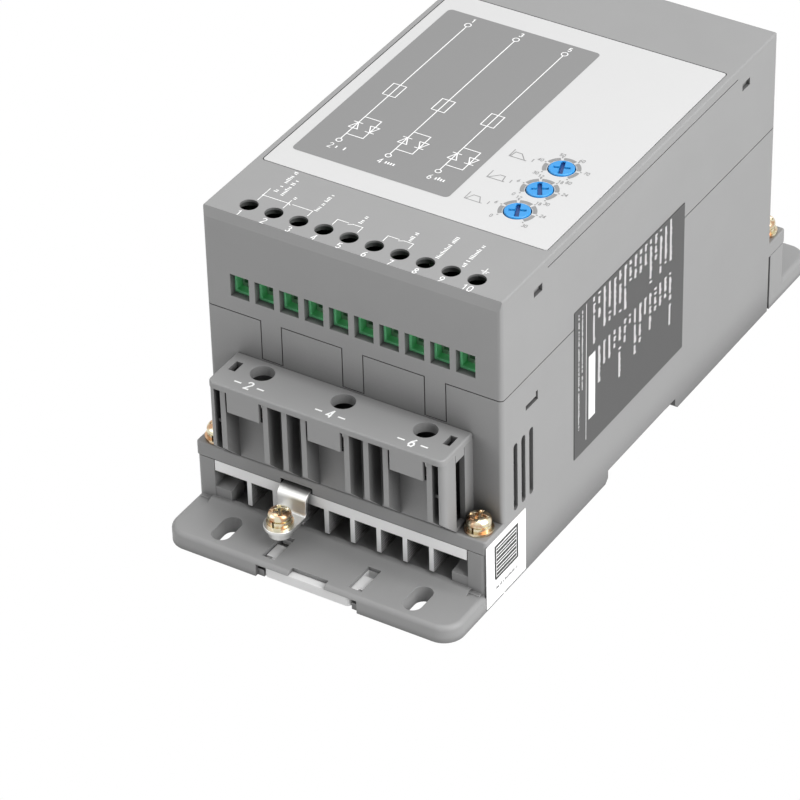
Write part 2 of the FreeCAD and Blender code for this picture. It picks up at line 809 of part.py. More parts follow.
def power_module(x):
    """Thyristor module of one phase: a case on a flange with two screw holes."""
    flange = centred(module_width, -module_length / 2, module_length / 2, sink_top,
                     sink_top + module_flange_thickness, x)
    flange = rounded(flange, board_corner_radius, is_upright)
    case = centred(module_width, -module_body_length / 2, module_body_length / 2, sink_top,
                   sink_top + module_height, x)
    case = rounded(case, board_corner_radius / 2, is_upright)
    bores = [rod(px, y, sink_top - 1, sink_top + module_height, screw_bore)
             for px, y in module_screw_points() if px == x]
    return flange.fuse(case).removeSplitter().cut(bores)


def current_transformers():
    """Ring transformers around the load busbars, each on its foot on the heat sink."""
    y = -half_length + transformer_setback
    z = busbar_bottom + busbar_thickness / 2
    rings = []
    for x in phase_x:
        ring = Part.makeCylinder(transformer_outer / 2, transformer_length, V(x, y, z), V(0, 1, 0))
        foot = centred(transformer_outer * 0.7, y, y + transformer_length, sink_top, z, x)
        bore = Part.makeCylinder(transformer_bore / 2, transformer_length + 2, V(x, y - 1, z), V(0, 1, 0))
        rings.append(ring.fuse(foot).cut(bore).removeSplitter())
    return group(rings)


def circuit_board(x0, x1, y0, y1, z0):
    """Plain board with rounded corners."""
    board = block(x0, x1, y0, y1, z0, z0 + board_thickness)
    return rounded(board, board_corner_radius, is_upright)


def pillars(x0, x1, y0, y1, z0, z1):
    """Four spacers at the given X positions, near the ends of a board."""
    return group([
        rod(x, y, z0, z1, pillar_diameter)
        for x in (x0, x1)
        for y in (y0 + pillar_inset_y, y1 - pillar_inset_y)
    ])


def board_header(x, y, z0, z1):
    """Pin strip that joins two boards."""
    pitch = header_length / header_pins
    first = y - (header_pins - 1) / 2 * pitch
    pins = [
        block(x - header_pin_size / 2, x + header_pin_size / 2, first + index * pitch - header_pin_size / 2,
              first + index * pitch + header_pin_size / 2, z0, z1)
        for index in range(header_pins)
    ]
    half = header_length / 2
    strips = [
        centred(header_width, y - half, y + half, z0, z0 + header_strip_height, x),
        centred(header_width, y - half, y + half, z1 - header_strip_height, z1, x),
    ]
    return strips[0].fuse(strips[1:] + pins).removeSplitter()


def bypass_relays():
    """Three bypass relays on the power board."""
    y0 = half_length - wall - relay_setback - relay_length
    relay_top = power_board_top + relay_height
    relays = []
    for x in phase_x:
        case = centred(relay_width, y0, y0 + relay_length, power_board_top, relay_top, x)
        relays.append(rounded(case, 1.0, is_upright))
    return group(relays)


def control_block():
    """Green ten-way terminal block behind the windows."""
    y0 = -half_length + wall + fit_gap
    z1 = control_board_top + control_block_height
    half = control_ways * control_pitch / 2
    body = block(-half, half, y0, y0 + control_block_depth, control_board_top, z1)
    y1 = y0 + control_entry_depth
    low = window_mid - control_entry_height / 2
    cuts = []
    for x in control_x:
        cuts.append(centred(control_entry_width, y0 - 1, y1, low, low + control_entry_height, x))
        cuts.append(rod(x, -half_length + driver_bore_setback, z1 - control_screw_sink - control_screw_head,
                        z1 + 1, control_screw_diameter + 2 * fit_gap))
    return body.cut(cuts)


def control_screws():
    """Ten slotted clamp screws under the driver holes."""
    z1 = control_board_top + control_block_height - control_screw_sink
    y = -half_length + driver_bore_setback
    screws = []
    for x in control_x:
        head = rod(x, y, z1 - control_screw_head, z1, control_screw_diameter)
        slot = centred(control_screw_diameter * 0.2, y - control_screw_diameter, y + control_screw_diameter,
                       z1 - control_screw_head / 2, z1 + 1, x)
        screws.append(head.cut(slot))
    return group(screws)


def control_clamps():
    """Ten tin-plated cage clamps at the back of the green entries."""
    y1 = -half_length + wall + fit_gap + control_entry_depth
    low = window_mid - control_entry_height / 2
    high = low + control_entry_height
    width = control_entry_width - 2 * fit_gap
    clamps = []
    for x in control_x:
        cage = centred(width, y1 - control_entry_depth / 2, y1, low, high - fit_gap, x)
        hole = centred(width - 2 * control_clamp_wall, y1 - control_entry_depth, y1 + 1,
                       low + 2 * control_clamp_wall, high - 2 * control_clamp_wall, x)
        clamps.append(cage.cut(hole))
    return group(clamps)


def trimmer_body(y):
    """Square case of one trimmer on the setting board."""
    half = trimmer_size / 2
    case = centred(trimmer_size, y - half, y + half, setting_board_top, trimmer_top, trimmer_x)
    bore = rod(trimmer_x, y, trimmer_top - knob_shaft_length - fit_gap, trimmer_top + 1,
               knob_shaft_diameter + 2 * knob_shaft_clearance)
    return case.cut(bore)


def trimmer_knob(y):
    """Blue rotor with a cross slot and a pointer notch."""
    disc = rod(trimmer_x, y, knob_bottom, knob_top, knob_diameter)
    disc = rounded(disc, knob_proud / 2, lambda edge: edge.BoundBox.ZMin > knob_top - 1e-6)
    shaft = rod(trimmer_x, y, trimmer_top - knob_shaft_length, knob_bottom, knob_shaft_diameter)
    half = knob_slot_length / 2
    arms = [
        centred(knob_slot_width, y - half, y + half, knob_top - knob_slot_depth, knob_top + 1, trimmer_x),
        centred(knob_slot_length, y - knob_slot_width / 2, y + knob_slot_width / 2,
                knob_top - knob_slot_depth, knob_top + 1, trimmer_x),
    ]
    tip = prism_z(
        [(trimmer_x - knob_slot_width, y + half - knob_slot_width),
         (trimmer_x + knob_slot_width, y + half - knob_slot_width),
         (trimmer_x, y + half)],
        knob_top - knob_slot_depth,
        knob_top + 1,
    )
    return disc.fuse(shaft).cut(arms + [tip])


def pan_screw(x, y, seat, head_diameter, length):
    """Pan-head screw with a cross recess."""
    shank = rod(x, y, seat - length, seat, screw_diameter)
    head = rod(x, y, seat, seat + screw_head_height, head_diameter)
    head_top = seat + screw_head_height
    head = rounded(head, screw_head_height * 0.6, lambda edge: edge.BoundBox.ZMin > head_top - 1e-6)
    z0 = head_top - screw_cross_depth
    half = screw_cross_length / 2
    arms = [
        centred(screw_cross_width, y - half, y + half, z0, z0 + screw_cross_depth + 1, x),
        centred(screw_cross_length, y - screw_cross_width / 2, y + screw_cross_width / 2,
                z0, z0 + screw_cross_depth + 1, x),
    ]
    return shank.fuse(head).removeSplitter().cut(arms)


def flat_washer(x, y, seat, diameter):
    """Plain washer."""
    bore = rod(x, y, seat - 1, seat + flat_washer_thickness + 1, screw_bore)
    return rod(x, y, seat, seat + flat_washer_thickness, diameter).cut(bore)


def spring_washer(x, y, seat, diameter):
    """Split spring washer."""
    bore = rod(x, y, seat - 1, seat + spring_washer_thickness + 1, screw_bore)
    split = centred(spring_washer_gap, y - diameter, y, seat - 1, seat + spring_washer_thickness + 1, x)
    return rod(x, y, seat, seat + spring_washer_thickness, diameter).cut([bore, split])


def housing_screw_tip():
    """Lower end of the housing screws."""
    return ledge_top + washer_stack - housing_screw_length


def housing_screw_points():
    """Plan positions of the four housing screws."""
    y = half_length + housing_screw_setback
    return [(side * housing_screw_x, end * y) for side in (-1, 1) for end in (-1, 1)]


def earth_tab():
    """Bent strip from the heat sink to the earth screw."""
    back = -ledge_end + earth_seat
    nose = -ledge_end - fit_gap
    z_seat = sink_top
    top_face = z_seat + earth_sheet
    low_top = top_face - earth_drop - earth_sheet
    outer = earth_bend + earth_sheet
    front = nose - outer
    upper_centre = (nose, z_seat - earth_bend)
    path = [V(0, back, top_face), V(0, nose, top_face)]
    edges = [Part.LineSegment(path[0], path[1]).toShape()]
    diagonal = outer * math.sqrt(0.5)
    mid = V(0, upper_centre[0] - diagonal, upper_centre[1] + diagonal)
    down = V(0, front, upper_centre[1])
    edges.append(Part.Arc(path[1], mid, down).toShape())
    fold = V(0, front, low_top + earth_sheet)
    edges.append(Part.LineSegment(down, fold).toShape())
    turn = V(0, front - earth_sheet, low_top)
    edges.append(Part.Arc(fold, V(0, front - earth_sheet * (1 - math.sqrt(0.5)),
                                  low_top + earth_sheet * (1 - math.sqrt(0.5))), turn).toShape())
    far = V(0, -half_length - earth_reach, low_top)
    edges.append(Part.LineSegment(turn, far).toShape())
    far_low = far - V(0, 0, earth_sheet)
    edges.append(Part.LineSegment(far, far_low).toShape())
    inner_turn = V(0, front - earth_sheet, low_top - earth_sheet)
    edges.append(Part.LineSegment(far_low, inner_turn).toShape())
    diagonal = 2 * earth_sheet * math.sqrt(0.5)
    inner_mid = V(0, front - earth_sheet + diagonal, low_top + earth_sheet - diagonal)
    inner_fold = V(0, front + earth_sheet, low_top + earth_sheet)
    edges.append(Part.Arc(inner_turn, inner_mid, inner_fold).toShape())
    inner_down = V(0, front + earth_sheet, upper_centre[1])
    edges.append(Part.LineSegment(inner_fold, inner_down).toShape())
    diagonal = earth_bend * math.sqrt(0.5)
    edges.append(Part.Arc(inner_down, V(0, upper_centre[0] - diagonal, upper_centre[1] + diagonal),
                          V(0, nose, z_seat)).toShape())
    edges.append(Part.LineSegment(V(0, nose, z_seat), V(0, back, z_seat)).toShape())
    edges.append(Part.LineSegment(V(0, back, z_seat), path[0]).toShape())
    strip = Part.Face(Part.Wire(edges)).extrude(V(earth_width, 0, 0))
    strip.translate(V(earth_x - earth_width / 2, 0, 0))
    disc = rod(earth_x, -half_length - earth_reach, low_top - earth_sheet, low_top, earth_width)
    bore = rod(earth_x, -half_length - earth_reach, low_top - earth_sheet - 1, low_top + 1, screw_bore)
    return strip.fuse(disc).removeSplitter().cut(bore)


def earth_seat_height():
    """Top of the flat end of the earth tab."""
    return sink_top - earth_drop


def earth_collar():
    """Threaded collar under the earth tab."""
    z1 = earth_seat_height() - earth_sheet
    y = -half_length - earth_reach
    ring = rod(earth_x, y, z1 - earth_collar_height, z1, earth_collar_diameter)
    return ring.cut(rod(earth_x, y, z1 - earth_collar_height - 1, z1 + 1, screw_diameter))


def rating_label():
    """Thin label on the right side wall."""
    y0 = -half_length + label_setback
    z0 = ledge_bottom + label_rise
    sheet = block(half_width, half_width + label_thickness, y0, y0 + label_length, z0, z0 + label_height)
    return sheet


def side_sticker():
    """Small square sticker at the front lower corner of the right side."""
    y0 = -half_length - sticker_start
    return block(half_width, half_width + label_thickness, y0, y0 + sticker_size, sticker_rise,
                 sticker_rise + sticker_size)


def build():
    """All sub-parts by name."""
    parts = {
        "mounting_base": mounting_base(),
        "din_clip": din_clip(),
        "heat_sink": heat_sink(),
        "lower_housing": lower_housing(),
        "upper_housing": upper_housing(),
        "front_plate": front_plate(),
        "load_terminal_cover": terminal_cover(),
        "line_terminal_cover": flipped(terminal_cover()),
        "load_terminal_clamps": terminal_clamps(),
        "line_terminal_clamps": flipped(terminal_clamps()),
        "load_terminal_screws": terminal_screws(),
        "line_terminal_screws": flipped(terminal_screws()),
        "load_busbars": busbars(),
        "line_busbars": flipped(busbars()),
        "current_transformers": current_transformers(),
        "bypass_relays": bypass_relays(),
        "control_terminal_block": control_block(),
        "control_terminal_screws": control_screws(),
        "control_terminal_clamps": control_clamps(),
        "earth_tab": earth_tab(),
        "earth_collar": earth_collar(),
        "rating_label": rating_label(),
        "side_sticker": side_sticker(),
    }
    for index, x in enumerate(phase_x):
        parts[f"thyristor_module_{index + 1}"] = power_module(x)
    for index, y in enumerate(trimmer_y):
        parts[f"trimmer_body_{index + 1}"] = trimmer_body(y)
        parts[f"trimmer_knob_{index + 1}"] = trimmer_knob(y)

    parts["power_board"] = circuit_board(-board_x, board_x, -board_y, board_y, power_board_bottom)
    parts["power_board_pillars"] = pillars(-pillar_x, pillar_x, -board_y, board_y, sink_top,
                                           power_board_bottom)
    control_end = -board_y + control_board_length
    parts["control_board"] = circuit_board(-board_x, board_x, -board_y, control_end, control_board_bottom)
    parts["control_board_pillars"] = pillars(-pillar_x, pillar_x, -board_y, control_end, power_board_top,
                                             control_board_bottom)
    mid = (trimmer_y[0] + trimmer_y[-1]) / 2
    x1 = trimmer_x + trimmer_size
    x0 = x1 - setting_board_width
    y0 = mid - setting_board_length / 2
    y1 = min(mid + setting_board_length / 2, control_end)
    parts["setting_board"] = circuit_board(x0, x1, y0, y1, setting_board_bottom)
    parts["setting_board_pillars"] = pillars(x0 + setting_pillar_inset, x1 - setting_pillar_inset, y0, y1,
                                             control_board_top, setting_board_bottom)
    parts["board_headers"] = group([
        board_header(-phase_pitch, mid, power_board_top, control_board_bottom),
        board_header(x0 + header_width, mid, control_board_top, setting_board_bottom),
    ])
    parts["module_screws"] = group([
        pan_screw(x, y, sink_top + module_flange_thickness, screw_head_diameter, module_screw_length)
        for x, y in module_screw_points()
    ])

    points = housing_screw_points()
    parts["housing_washers"] = group([
        flat_washer(x, y, ledge_top, flat_washer_diameter) for x, y in points
    ])
    parts["housing_spring_washers"] = group([
        spring_washer(x, y, ledge_top + flat_washer_thickness, spring_washer_diameter) for x, y in points
    ])
    parts["housing_screws"] = group([
        pan_screw(x, y, ledge_top + washer_stack, screw_head_diameter, housing_screw_length)
        for x, y in points
    ])
    earth_y = -half_length - earth_reach
    seat = earth_seat_height()
    parts["earth_washer"] = flat_washer(earth_x, earth_y, seat, earth_washer_diameter)
    parts["earth_spring_washer"] = spring_washer(earth_x, earth_y, seat + flat_washer_thickness,
                                                 spring_washer_diameter)
    parts["earth_screw"] = pan_screw(earth_x, earth_y, seat + washer_stack, earth_head_diameter,
                                     washer_stack + earth_sheet + earth_collar_height)
    return parts


os.makedirs("parts", exist_ok=True)
for name, shape in build().items():
    shape.exportStep(f"parts/{name}.step")
    print(name, "solids", len(shape.Solids), "valid", shape.isValid(), "volume", round(shape.Volume, 1))
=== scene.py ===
"""Soft starter: finishes, softened mouldings, screws, prints and the stage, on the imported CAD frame."""
import json
import math

import bmesh
import bpy
import numpy as np
from mathutils import Matrix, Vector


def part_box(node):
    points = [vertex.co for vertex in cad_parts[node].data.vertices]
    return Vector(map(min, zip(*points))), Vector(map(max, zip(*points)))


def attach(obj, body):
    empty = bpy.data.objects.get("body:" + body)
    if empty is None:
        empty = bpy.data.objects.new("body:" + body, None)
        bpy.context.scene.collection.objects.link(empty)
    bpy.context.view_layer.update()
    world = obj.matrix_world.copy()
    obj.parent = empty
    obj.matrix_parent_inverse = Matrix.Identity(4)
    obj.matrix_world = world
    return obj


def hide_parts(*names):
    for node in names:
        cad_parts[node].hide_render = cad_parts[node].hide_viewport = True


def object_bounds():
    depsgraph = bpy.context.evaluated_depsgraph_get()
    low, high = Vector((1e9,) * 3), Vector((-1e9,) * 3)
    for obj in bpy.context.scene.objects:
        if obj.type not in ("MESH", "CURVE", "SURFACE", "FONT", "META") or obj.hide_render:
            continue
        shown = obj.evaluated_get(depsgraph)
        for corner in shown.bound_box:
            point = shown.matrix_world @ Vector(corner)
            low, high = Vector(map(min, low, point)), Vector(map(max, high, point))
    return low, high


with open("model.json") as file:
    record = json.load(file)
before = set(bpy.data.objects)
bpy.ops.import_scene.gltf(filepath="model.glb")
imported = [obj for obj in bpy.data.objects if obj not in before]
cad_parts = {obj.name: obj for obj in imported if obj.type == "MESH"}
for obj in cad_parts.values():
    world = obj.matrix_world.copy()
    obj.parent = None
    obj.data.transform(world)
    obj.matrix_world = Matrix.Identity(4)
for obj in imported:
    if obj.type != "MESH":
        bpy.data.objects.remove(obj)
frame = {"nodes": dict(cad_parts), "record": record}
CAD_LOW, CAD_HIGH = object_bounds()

bl_info = {
    "name": "Soft Starter",
    "version": (1, 0, 0),
    "blender": (4, 5, 0),
    "location": "View3D > Sidebar > Soft Starter",
    "description": "Builds the visible pieces of a soft starter round its CAD frame",
    "category": "Object",
}

MM = 0.001
SUBPARTS = {part["node"]: part["material_slot"] for part in frame["record"]["subparts"]}
BODIES = {node: body for body, nodes in frame["record"]["behaviour"]["bodies"].items() for node in nodes}


# Places from the frame, in millimetres

def low(node):
    """Lowest corner of a CAD node, in millimetres."""
    return np.array(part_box(node)[0]) / MM


def high(node):
    """Highest corner of a CAD node, in millimetres."""
    return np.array(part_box(node)[1]) / MM


FRONT = low("upper_housing")[1]
TOP = high("upper_housing")[2]


# Colour and materials

MOTTLE_WIDTH = 50 / 3
CLOUD_WIDTH = 2.0


def linear(code):
    """Linear RGBA of a six-digit sRGB code."""
    values = [int(code[start:start + 2], 16) / 255 for start in (0, 2, 4)]
    return tuple(v / 12.92 if v <= 0.04045 else ((v + 0.055) / 1.055) ** 2.4 for v in values) + (1.0,)


def fill(tree, node, inputs):
    """Sets each input, by name or number, to its value, or links it where the value is an output."""
    for key, value in inputs.items():
        if isinstance(value, bpy.types.NodeSocket):
            tree.links.new(value, node.inputs[key])
        else:
            node.inputs[key].default_value = value


def add_node(tree, kind, settings=(), inputs=()):
    """Adds one shader node with its settings, values and links."""
    node = tree.nodes.new(kind)
    for name, value in dict(settings).items():
        setattr(node, name, value)
    fill(tree, node, dict(inputs))
    return node


def new_material(name):
    """An empty material and its principled shader."""
    material = bpy.data.materials.new(name)
    material.use_nodes = True
    return material, material.node_tree.nodes["Principled BSDF"]


def painted_crevice_shade(tree, width, tone):
    """The tone with painted shade: darker in gaps and corners up to a width in millimetres, where contact
    shade falls.

    The share of open sky over the point, from 0 to 0.9, becomes a factor from 0.02 to 1.
    """
    # painted shade: the colour darkens where little open sky reaches the point
    open_share = add_node(tree, "ShaderNodeAmbientOcclusion", {"samples": 8}, {"Distance": width * MM})
    shade = add_node(tree, "ShaderNodeMapRange", {}, {"Value": open_share.outputs["AO"], "From Max": 0.9,
                                                      "To Min": 0.02, "To Max": 1.0})
    both = add_node(tree, "ShaderNodeMath", {"operation": "MULTIPLY"}, {0: shade.outputs["Result"], 1: tone})
    return both.outputs["Value"]


def moulded(name, colour, roughness, grain=0.35, grain_size=0.35, mottle=0.04, painted_shade_width=0.0):
    """Moulded plastic: a fine spark-eroded grain as bump and a faint change of tone over 17 mm.

    The grain size is in millimetres. The real grain is too fine to show, so it is drawn coarser.
    With a painted shade width in millimetres, the colour also gets painted shade in gaps and corners of that
    width.
    """
    material, shader = new_material(name)
    tree = material.node_tree
    place = add_node(tree, "ShaderNodeTexCoord").outputs["Object"]
    fine = add_node(tree, "ShaderNodeTexNoise", {}, {"Vector": place, "Scale": 1 / (grain_size * MM),
                                                     "Detail": 2.0})
    bump = add_node(tree, "ShaderNodeBump", {}, {"Height": fine.outputs["Fac"], "Strength": grain,
                                                 "Distance": 0.02 * MM})
    broad = add_node(tree, "ShaderNodeTexNoise", {}, {"Vector": place, "Scale": 1 / (MOTTLE_WIDTH * MM),
                                                      "Detail": 2.0})
    spread = add_node(tree, "ShaderNodeMapRange", {}, {"Value": broad.outputs["Fac"], "To Min": 1 - mottle,
                                                       "To Max": 1 + mottle})
    tone = spread.outputs["Result"]
    # painted shade in gaps and corners, multiplied into the base colour
    if painted_shade_width > 0:
        tone = painted_crevice_shade(tree, painted_shade_width, tone)
    mix = add_node(tree, "ShaderNodeMix", {"data_type": "RGBA", "blend_type": "MULTIPLY"},
                   {"Factor": 1.0, "A": colour, "B": tone})
    fill(tree, shader, {"Base Color": mix.outputs["Result"], "Normal": bump.outputs["Normal"],
                        "Roughness": roughness})
    return material


def carve_grooves(tree, shader, place, bump, colour, pitch):
    """Level grooves on the faces that look along X, at a pitch in millimetres, with painted shade where they
    are deep and painted shade in gaps and corners within 12 mm.

    The wave texture repeats each 2 pi / 20 of a unit at scale 1.
    """
    bands = add_node(tree, "ShaderNodeTexWave", {"bands_direction": "Z"},
                     {"Vector": place, "Scale": 2 * math.pi / (20 * pitch * MM)})
    facing = add_node(tree, "ShaderNodeNewGeometry")
    parts = add_node(tree, "ShaderNodeSeparateXYZ", {}, {"Vector": facing.outputs["True Normal"]})
    sideways = add_node(tree, "ShaderNodeMath", {"operation": "ABSOLUTE"}, {0: parts.outputs["X"]})
    groove = add_node(tree, "ShaderNodeMath", {"operation": "MULTIPLY"},
                      {0: sideways.outputs["Value"], 1: bands.outputs["Fac"]}).outputs["Value"]
    carved = add_node(tree, "ShaderNodeBump", {}, {"Height": groove, "Normal": bump.outputs["Normal"],
                                                   "Strength": 0.8, "Distance": 0.35 * MM})
    # painted shade: the colour is darkened in the grooves and in gaps and corners
    painted_groove_shade = add_node(tree, "ShaderNodeMapRange", {}, {"Value": groove, "To Min": 1.0, "To Max": 0.6})
    tone = painted_crevice_shade(tree, 12.0, painted_groove_shade.outputs["Result"])
    mix = add_node(tree, "ShaderNodeMix", {"data_type": "RGBA", "blend_type": "MULTIPLY"},
                   {"Factor": 1.0, "A": colour, "B": tone})
    fill(tree, shader, {"Base Color": mix.outputs["Result"], "Normal": carved.outputs["Normal"]})


def metal(name, colour, roughness, tint=None, grain_scale=(1.0, 1.0, 1.0), grain=0.2, grain_size=0.4,
          metallic=1.0, serration=0.0):
    """Bare or plated metal: stretched noise as drawing marks, a second tint in clouds, and grooves with
    painted shade.

    The clouds are 2 mm wide. The serration is the grooves' pitch in millimetres.
    """
    material, shader = new_material(name)
    tree = material.node_tree
    place = add_node(tree, "ShaderNodeTexCoord").outputs["Object"]
    stretch = add_node(tree, "ShaderNodeMapping", {}, {"Vector": place, "Scale": grain_scale})
    marks = add_node(tree, "ShaderNodeTexNoise", {}, {"Vector": stretch.outputs["Vector"],
                                                      "Scale": 1 / (grain_size * MM), "Detail": 2.0})
    bump = add_node(tree, "ShaderNodeBump", {}, {"Height": marks.outputs["Fac"], "Strength": grain,
                                                 "Distance": 0.03 * MM})
    fill(tree, shader, {"Base Color": colour, "Normal": bump.outputs["Normal"], "Metallic": metallic,
                        "Roughness": roughness})
    if tint is not None:
        clouds = add_node(tree, "ShaderNodeTexNoise", {}, {"Vector": place, "Scale": 1 / (CLOUD_WIDTH * MM),
                                                           "Detail": 1.0})
        spread = add_node(tree, "ShaderNodeMapRange", {}, {"Value": clouds.outputs["Fac"], "From Min": 0.45,
                                                           "From Max": 0.65})
        mix = add_node(tree, "ShaderNodeMix", {"data_type": "RGBA"},
                       {"Factor": spread.outputs["Result"], "A": colour, "B": tint})
        fill(tree, shader, {"Base Color": mix.outputs["Result"]})
    if serration > 0:
        carve_grooves(tree, shader, place, bump, colour, serration)
    return material


def ink(name, colour, roughness=0.5):
    """Screen-printed ink: a flat colour with a slight sheen."""
    material, shader = new_material(name)
    fill(material.node_tree, shader, {"Base Color": colour, "Roughness": roughness})
    return material


MATERIALS = {}


def plastics(colours):
    """The moulded and film plastics, by the slot of the record."""
    grey = colours.housing
    return {
        # polyamide from a spark-eroded mould: dull, with a fine even grain, and painted shade in gaps and
        # corners
        "housing_plastic": moulded("mid_grey_polyamide_fine_grain_painted_shade", grey, 0.55, painted_shade_width=16.0),
        "base_plastic": moulded("mid_grey_polyamide_base_grain_painted_shade", grey, 0.5, painted_shade_width=3.0),
        "cover_plastic": moulded("mid_grey_polyamide_cover_grain_painted_shade", grey, 0.5, painted_shade_width=6.0),
        # acetal from a polished mould: smooth, with a soft sheen
        "clip_plastic": moulded("light_grey_acetal_smooth", colours.clip, 0.4, 0.1),
        # printed films and paper: flat, with an even sheen and hardly any grain
        "front_film": moulded("pale_grey_polycarbonate_film", colours.plate, 0.35, 0.08, 0.5, 0.01),
        "label_film": moulded("dark_grey_label_film", colours.label, 0.45, 0.05, 0.5, 0.01),
        "sticker_paper": moulded("white_sticker_paper_matt", linear("FBFBFB"), 0.7, 0.1, 0.3, 0.01),
        # small mouldings from polished moulds: smooth, with a clear sheen
        "trimmer_blue": moulded("blue_trimmer_plastic_smooth", colours.knob, 0.3, 0.05),
        # the dark case colour also paints shade into the faces deep in the rotors' slots
        "trimmer_case": moulded("dark_blue_trimmer_case_and_slot_shade", colours.trimmer_case_and_slot_shade, 0.4, 0.05),
        "terminal_green": moulded("green_polyamide_terminal", colours.terminal, 0.4, 0.1),
        # pieces inside, which show only through slots and driver holes
        "board_laminate": moulded("green_solder_mask_laminate", linear("1F5A38"), 0.4, 0.1),
        "module_epoxy": moulded("black_epoxy_moulding", linear("1C1C1C"), 0.6),
        "relay_case": moulded("black_relay_case_smooth", linear("202022"), 0.3, 0.1),
        "transformer_case": moulded("dark_blue_transformer_case", linear("24386B"), 0.35, 0.1),
        "nylon_spacer": moulded("natural_nylon_spacer", linear("E4E2DA"), 0.5, 0.1),
        "header_plastic": moulded("black_header_strip", linear("1B1B1B"), 0.5, 0.1),
    }


def metals(colours):
    """The metals, by the slot of the record."""
    return {
        # a clear anodised layer scatters the light, so the extrusion looks pale and satin, not mirror-like;
        # its grooves, gaps and corners carry painted shade
        "aluminium_extrusion": metal("clear_anodised_aluminium_extrusion_painted_shade", colours.aluminium, 0.42,
                                     grain_scale=(1.0, 0.03, 1.0), metallic=0.1, serration=0.8),
        # a dull even tin layer over punched steel
        "tinned_steel": metal("tinned_steel_satin", linear("B9B9B6"), 0.35),
        # yellow passivation over zinc: straw and brown clouds on a bright ground
        "yellow_zinc": metal("yellow_passivated_zinc", linear("DDD5BA"), 0.26, linear("C09A78")),
        # clear passivation over zinc: a pale and slightly blurred shine
        "bright_zinc": metal("bright_zinc_plate", linear("D6D6D4"), 0.4),
        # bare drawn bar: a warm satin shine
        "copper": metal("bare_copper_bar", linear("C98A62"), 0.35),
    }


def inks(colours):
    """The screen-printed inks, which lie as a thin dull layer on the film or the plastic."""
    return {
        "white_ink": ink("white_screen_ink", linear("F2F2F2")),
        "panel_ink": ink("mid_grey_panel_ink", colours.panel),
        "grey_ink": ink("grey_dial_ink", linear("868686")),
        "black_ink": ink("black_sticker_ink", linear("2A2A2A")),
    }


# Surfaces

def mesh_object(name, vertices, faces, materials, face_slots=None, smooth=False):
    """Makes an object at the origin from vertices in millimetres and equal-sided faces."""
    vertices = np.asarray(vertices, dtype=np.float32) * MM
    faces = np.asarray(faces, dtype=np.int32)
    sides = faces.shape[1]
    mesh = bpy.data.meshes.new(name)
    mesh.vertices.add(len(vertices))
    mesh.vertices.foreach_set("co", vertices.ravel())
    mesh.loops.add(faces.size)
    mesh.loops.foreach_set("vertex_index", faces.ravel())
    mesh.polygons.add(len(faces))
    mesh.polygons.foreach_set("loop_start", np.arange(0, faces.size, sides, dtype=np.int32))
    mesh.polygons.foreach_set("use_smooth", np.full(len(faces), smooth))
    for key in materials:
        mesh.materials.append(MATERIALS[key])
    if face_slots is not None:
        mesh.polygons.foreach_set("material_index", np.asarray(face_slots, dtype=np.int32))
    mesh.update(calc_edges=True)
    mesh.validate()
    item = bpy.data.objects.new(name, mesh)
    bpy.context.scene.collection.objects.link(item)
    return item


def close_poles(item):
    """Merges the points that meet on the axis of a turned piece, so that it is closed there."""
    shape = bmesh.new()
    shape.from_mesh(item.data)
    bmesh.ops.remove_doubles(shape, verts=shape.verts, dist=0.0001 * MM)
    shape.to_mesh(item.data)
    shape.free()


def grid_faces(rows, columns, wrap):
    """Quads over a grid of rows by columns of vertices; wrap joins the last column to the first."""
    across = columns if wrap else columns - 1
    i, j = np.meshgrid(np.arange(rows - 1), np.arange(across), indexing="ij")
    k = (j + 1) % columns
    quads = np.stack([i * columns + j, i * columns + k, (i + 1) * columns + k, (i + 1) * columns + j], -1)
    return quads.reshape(-1, 4)


# Flat prints

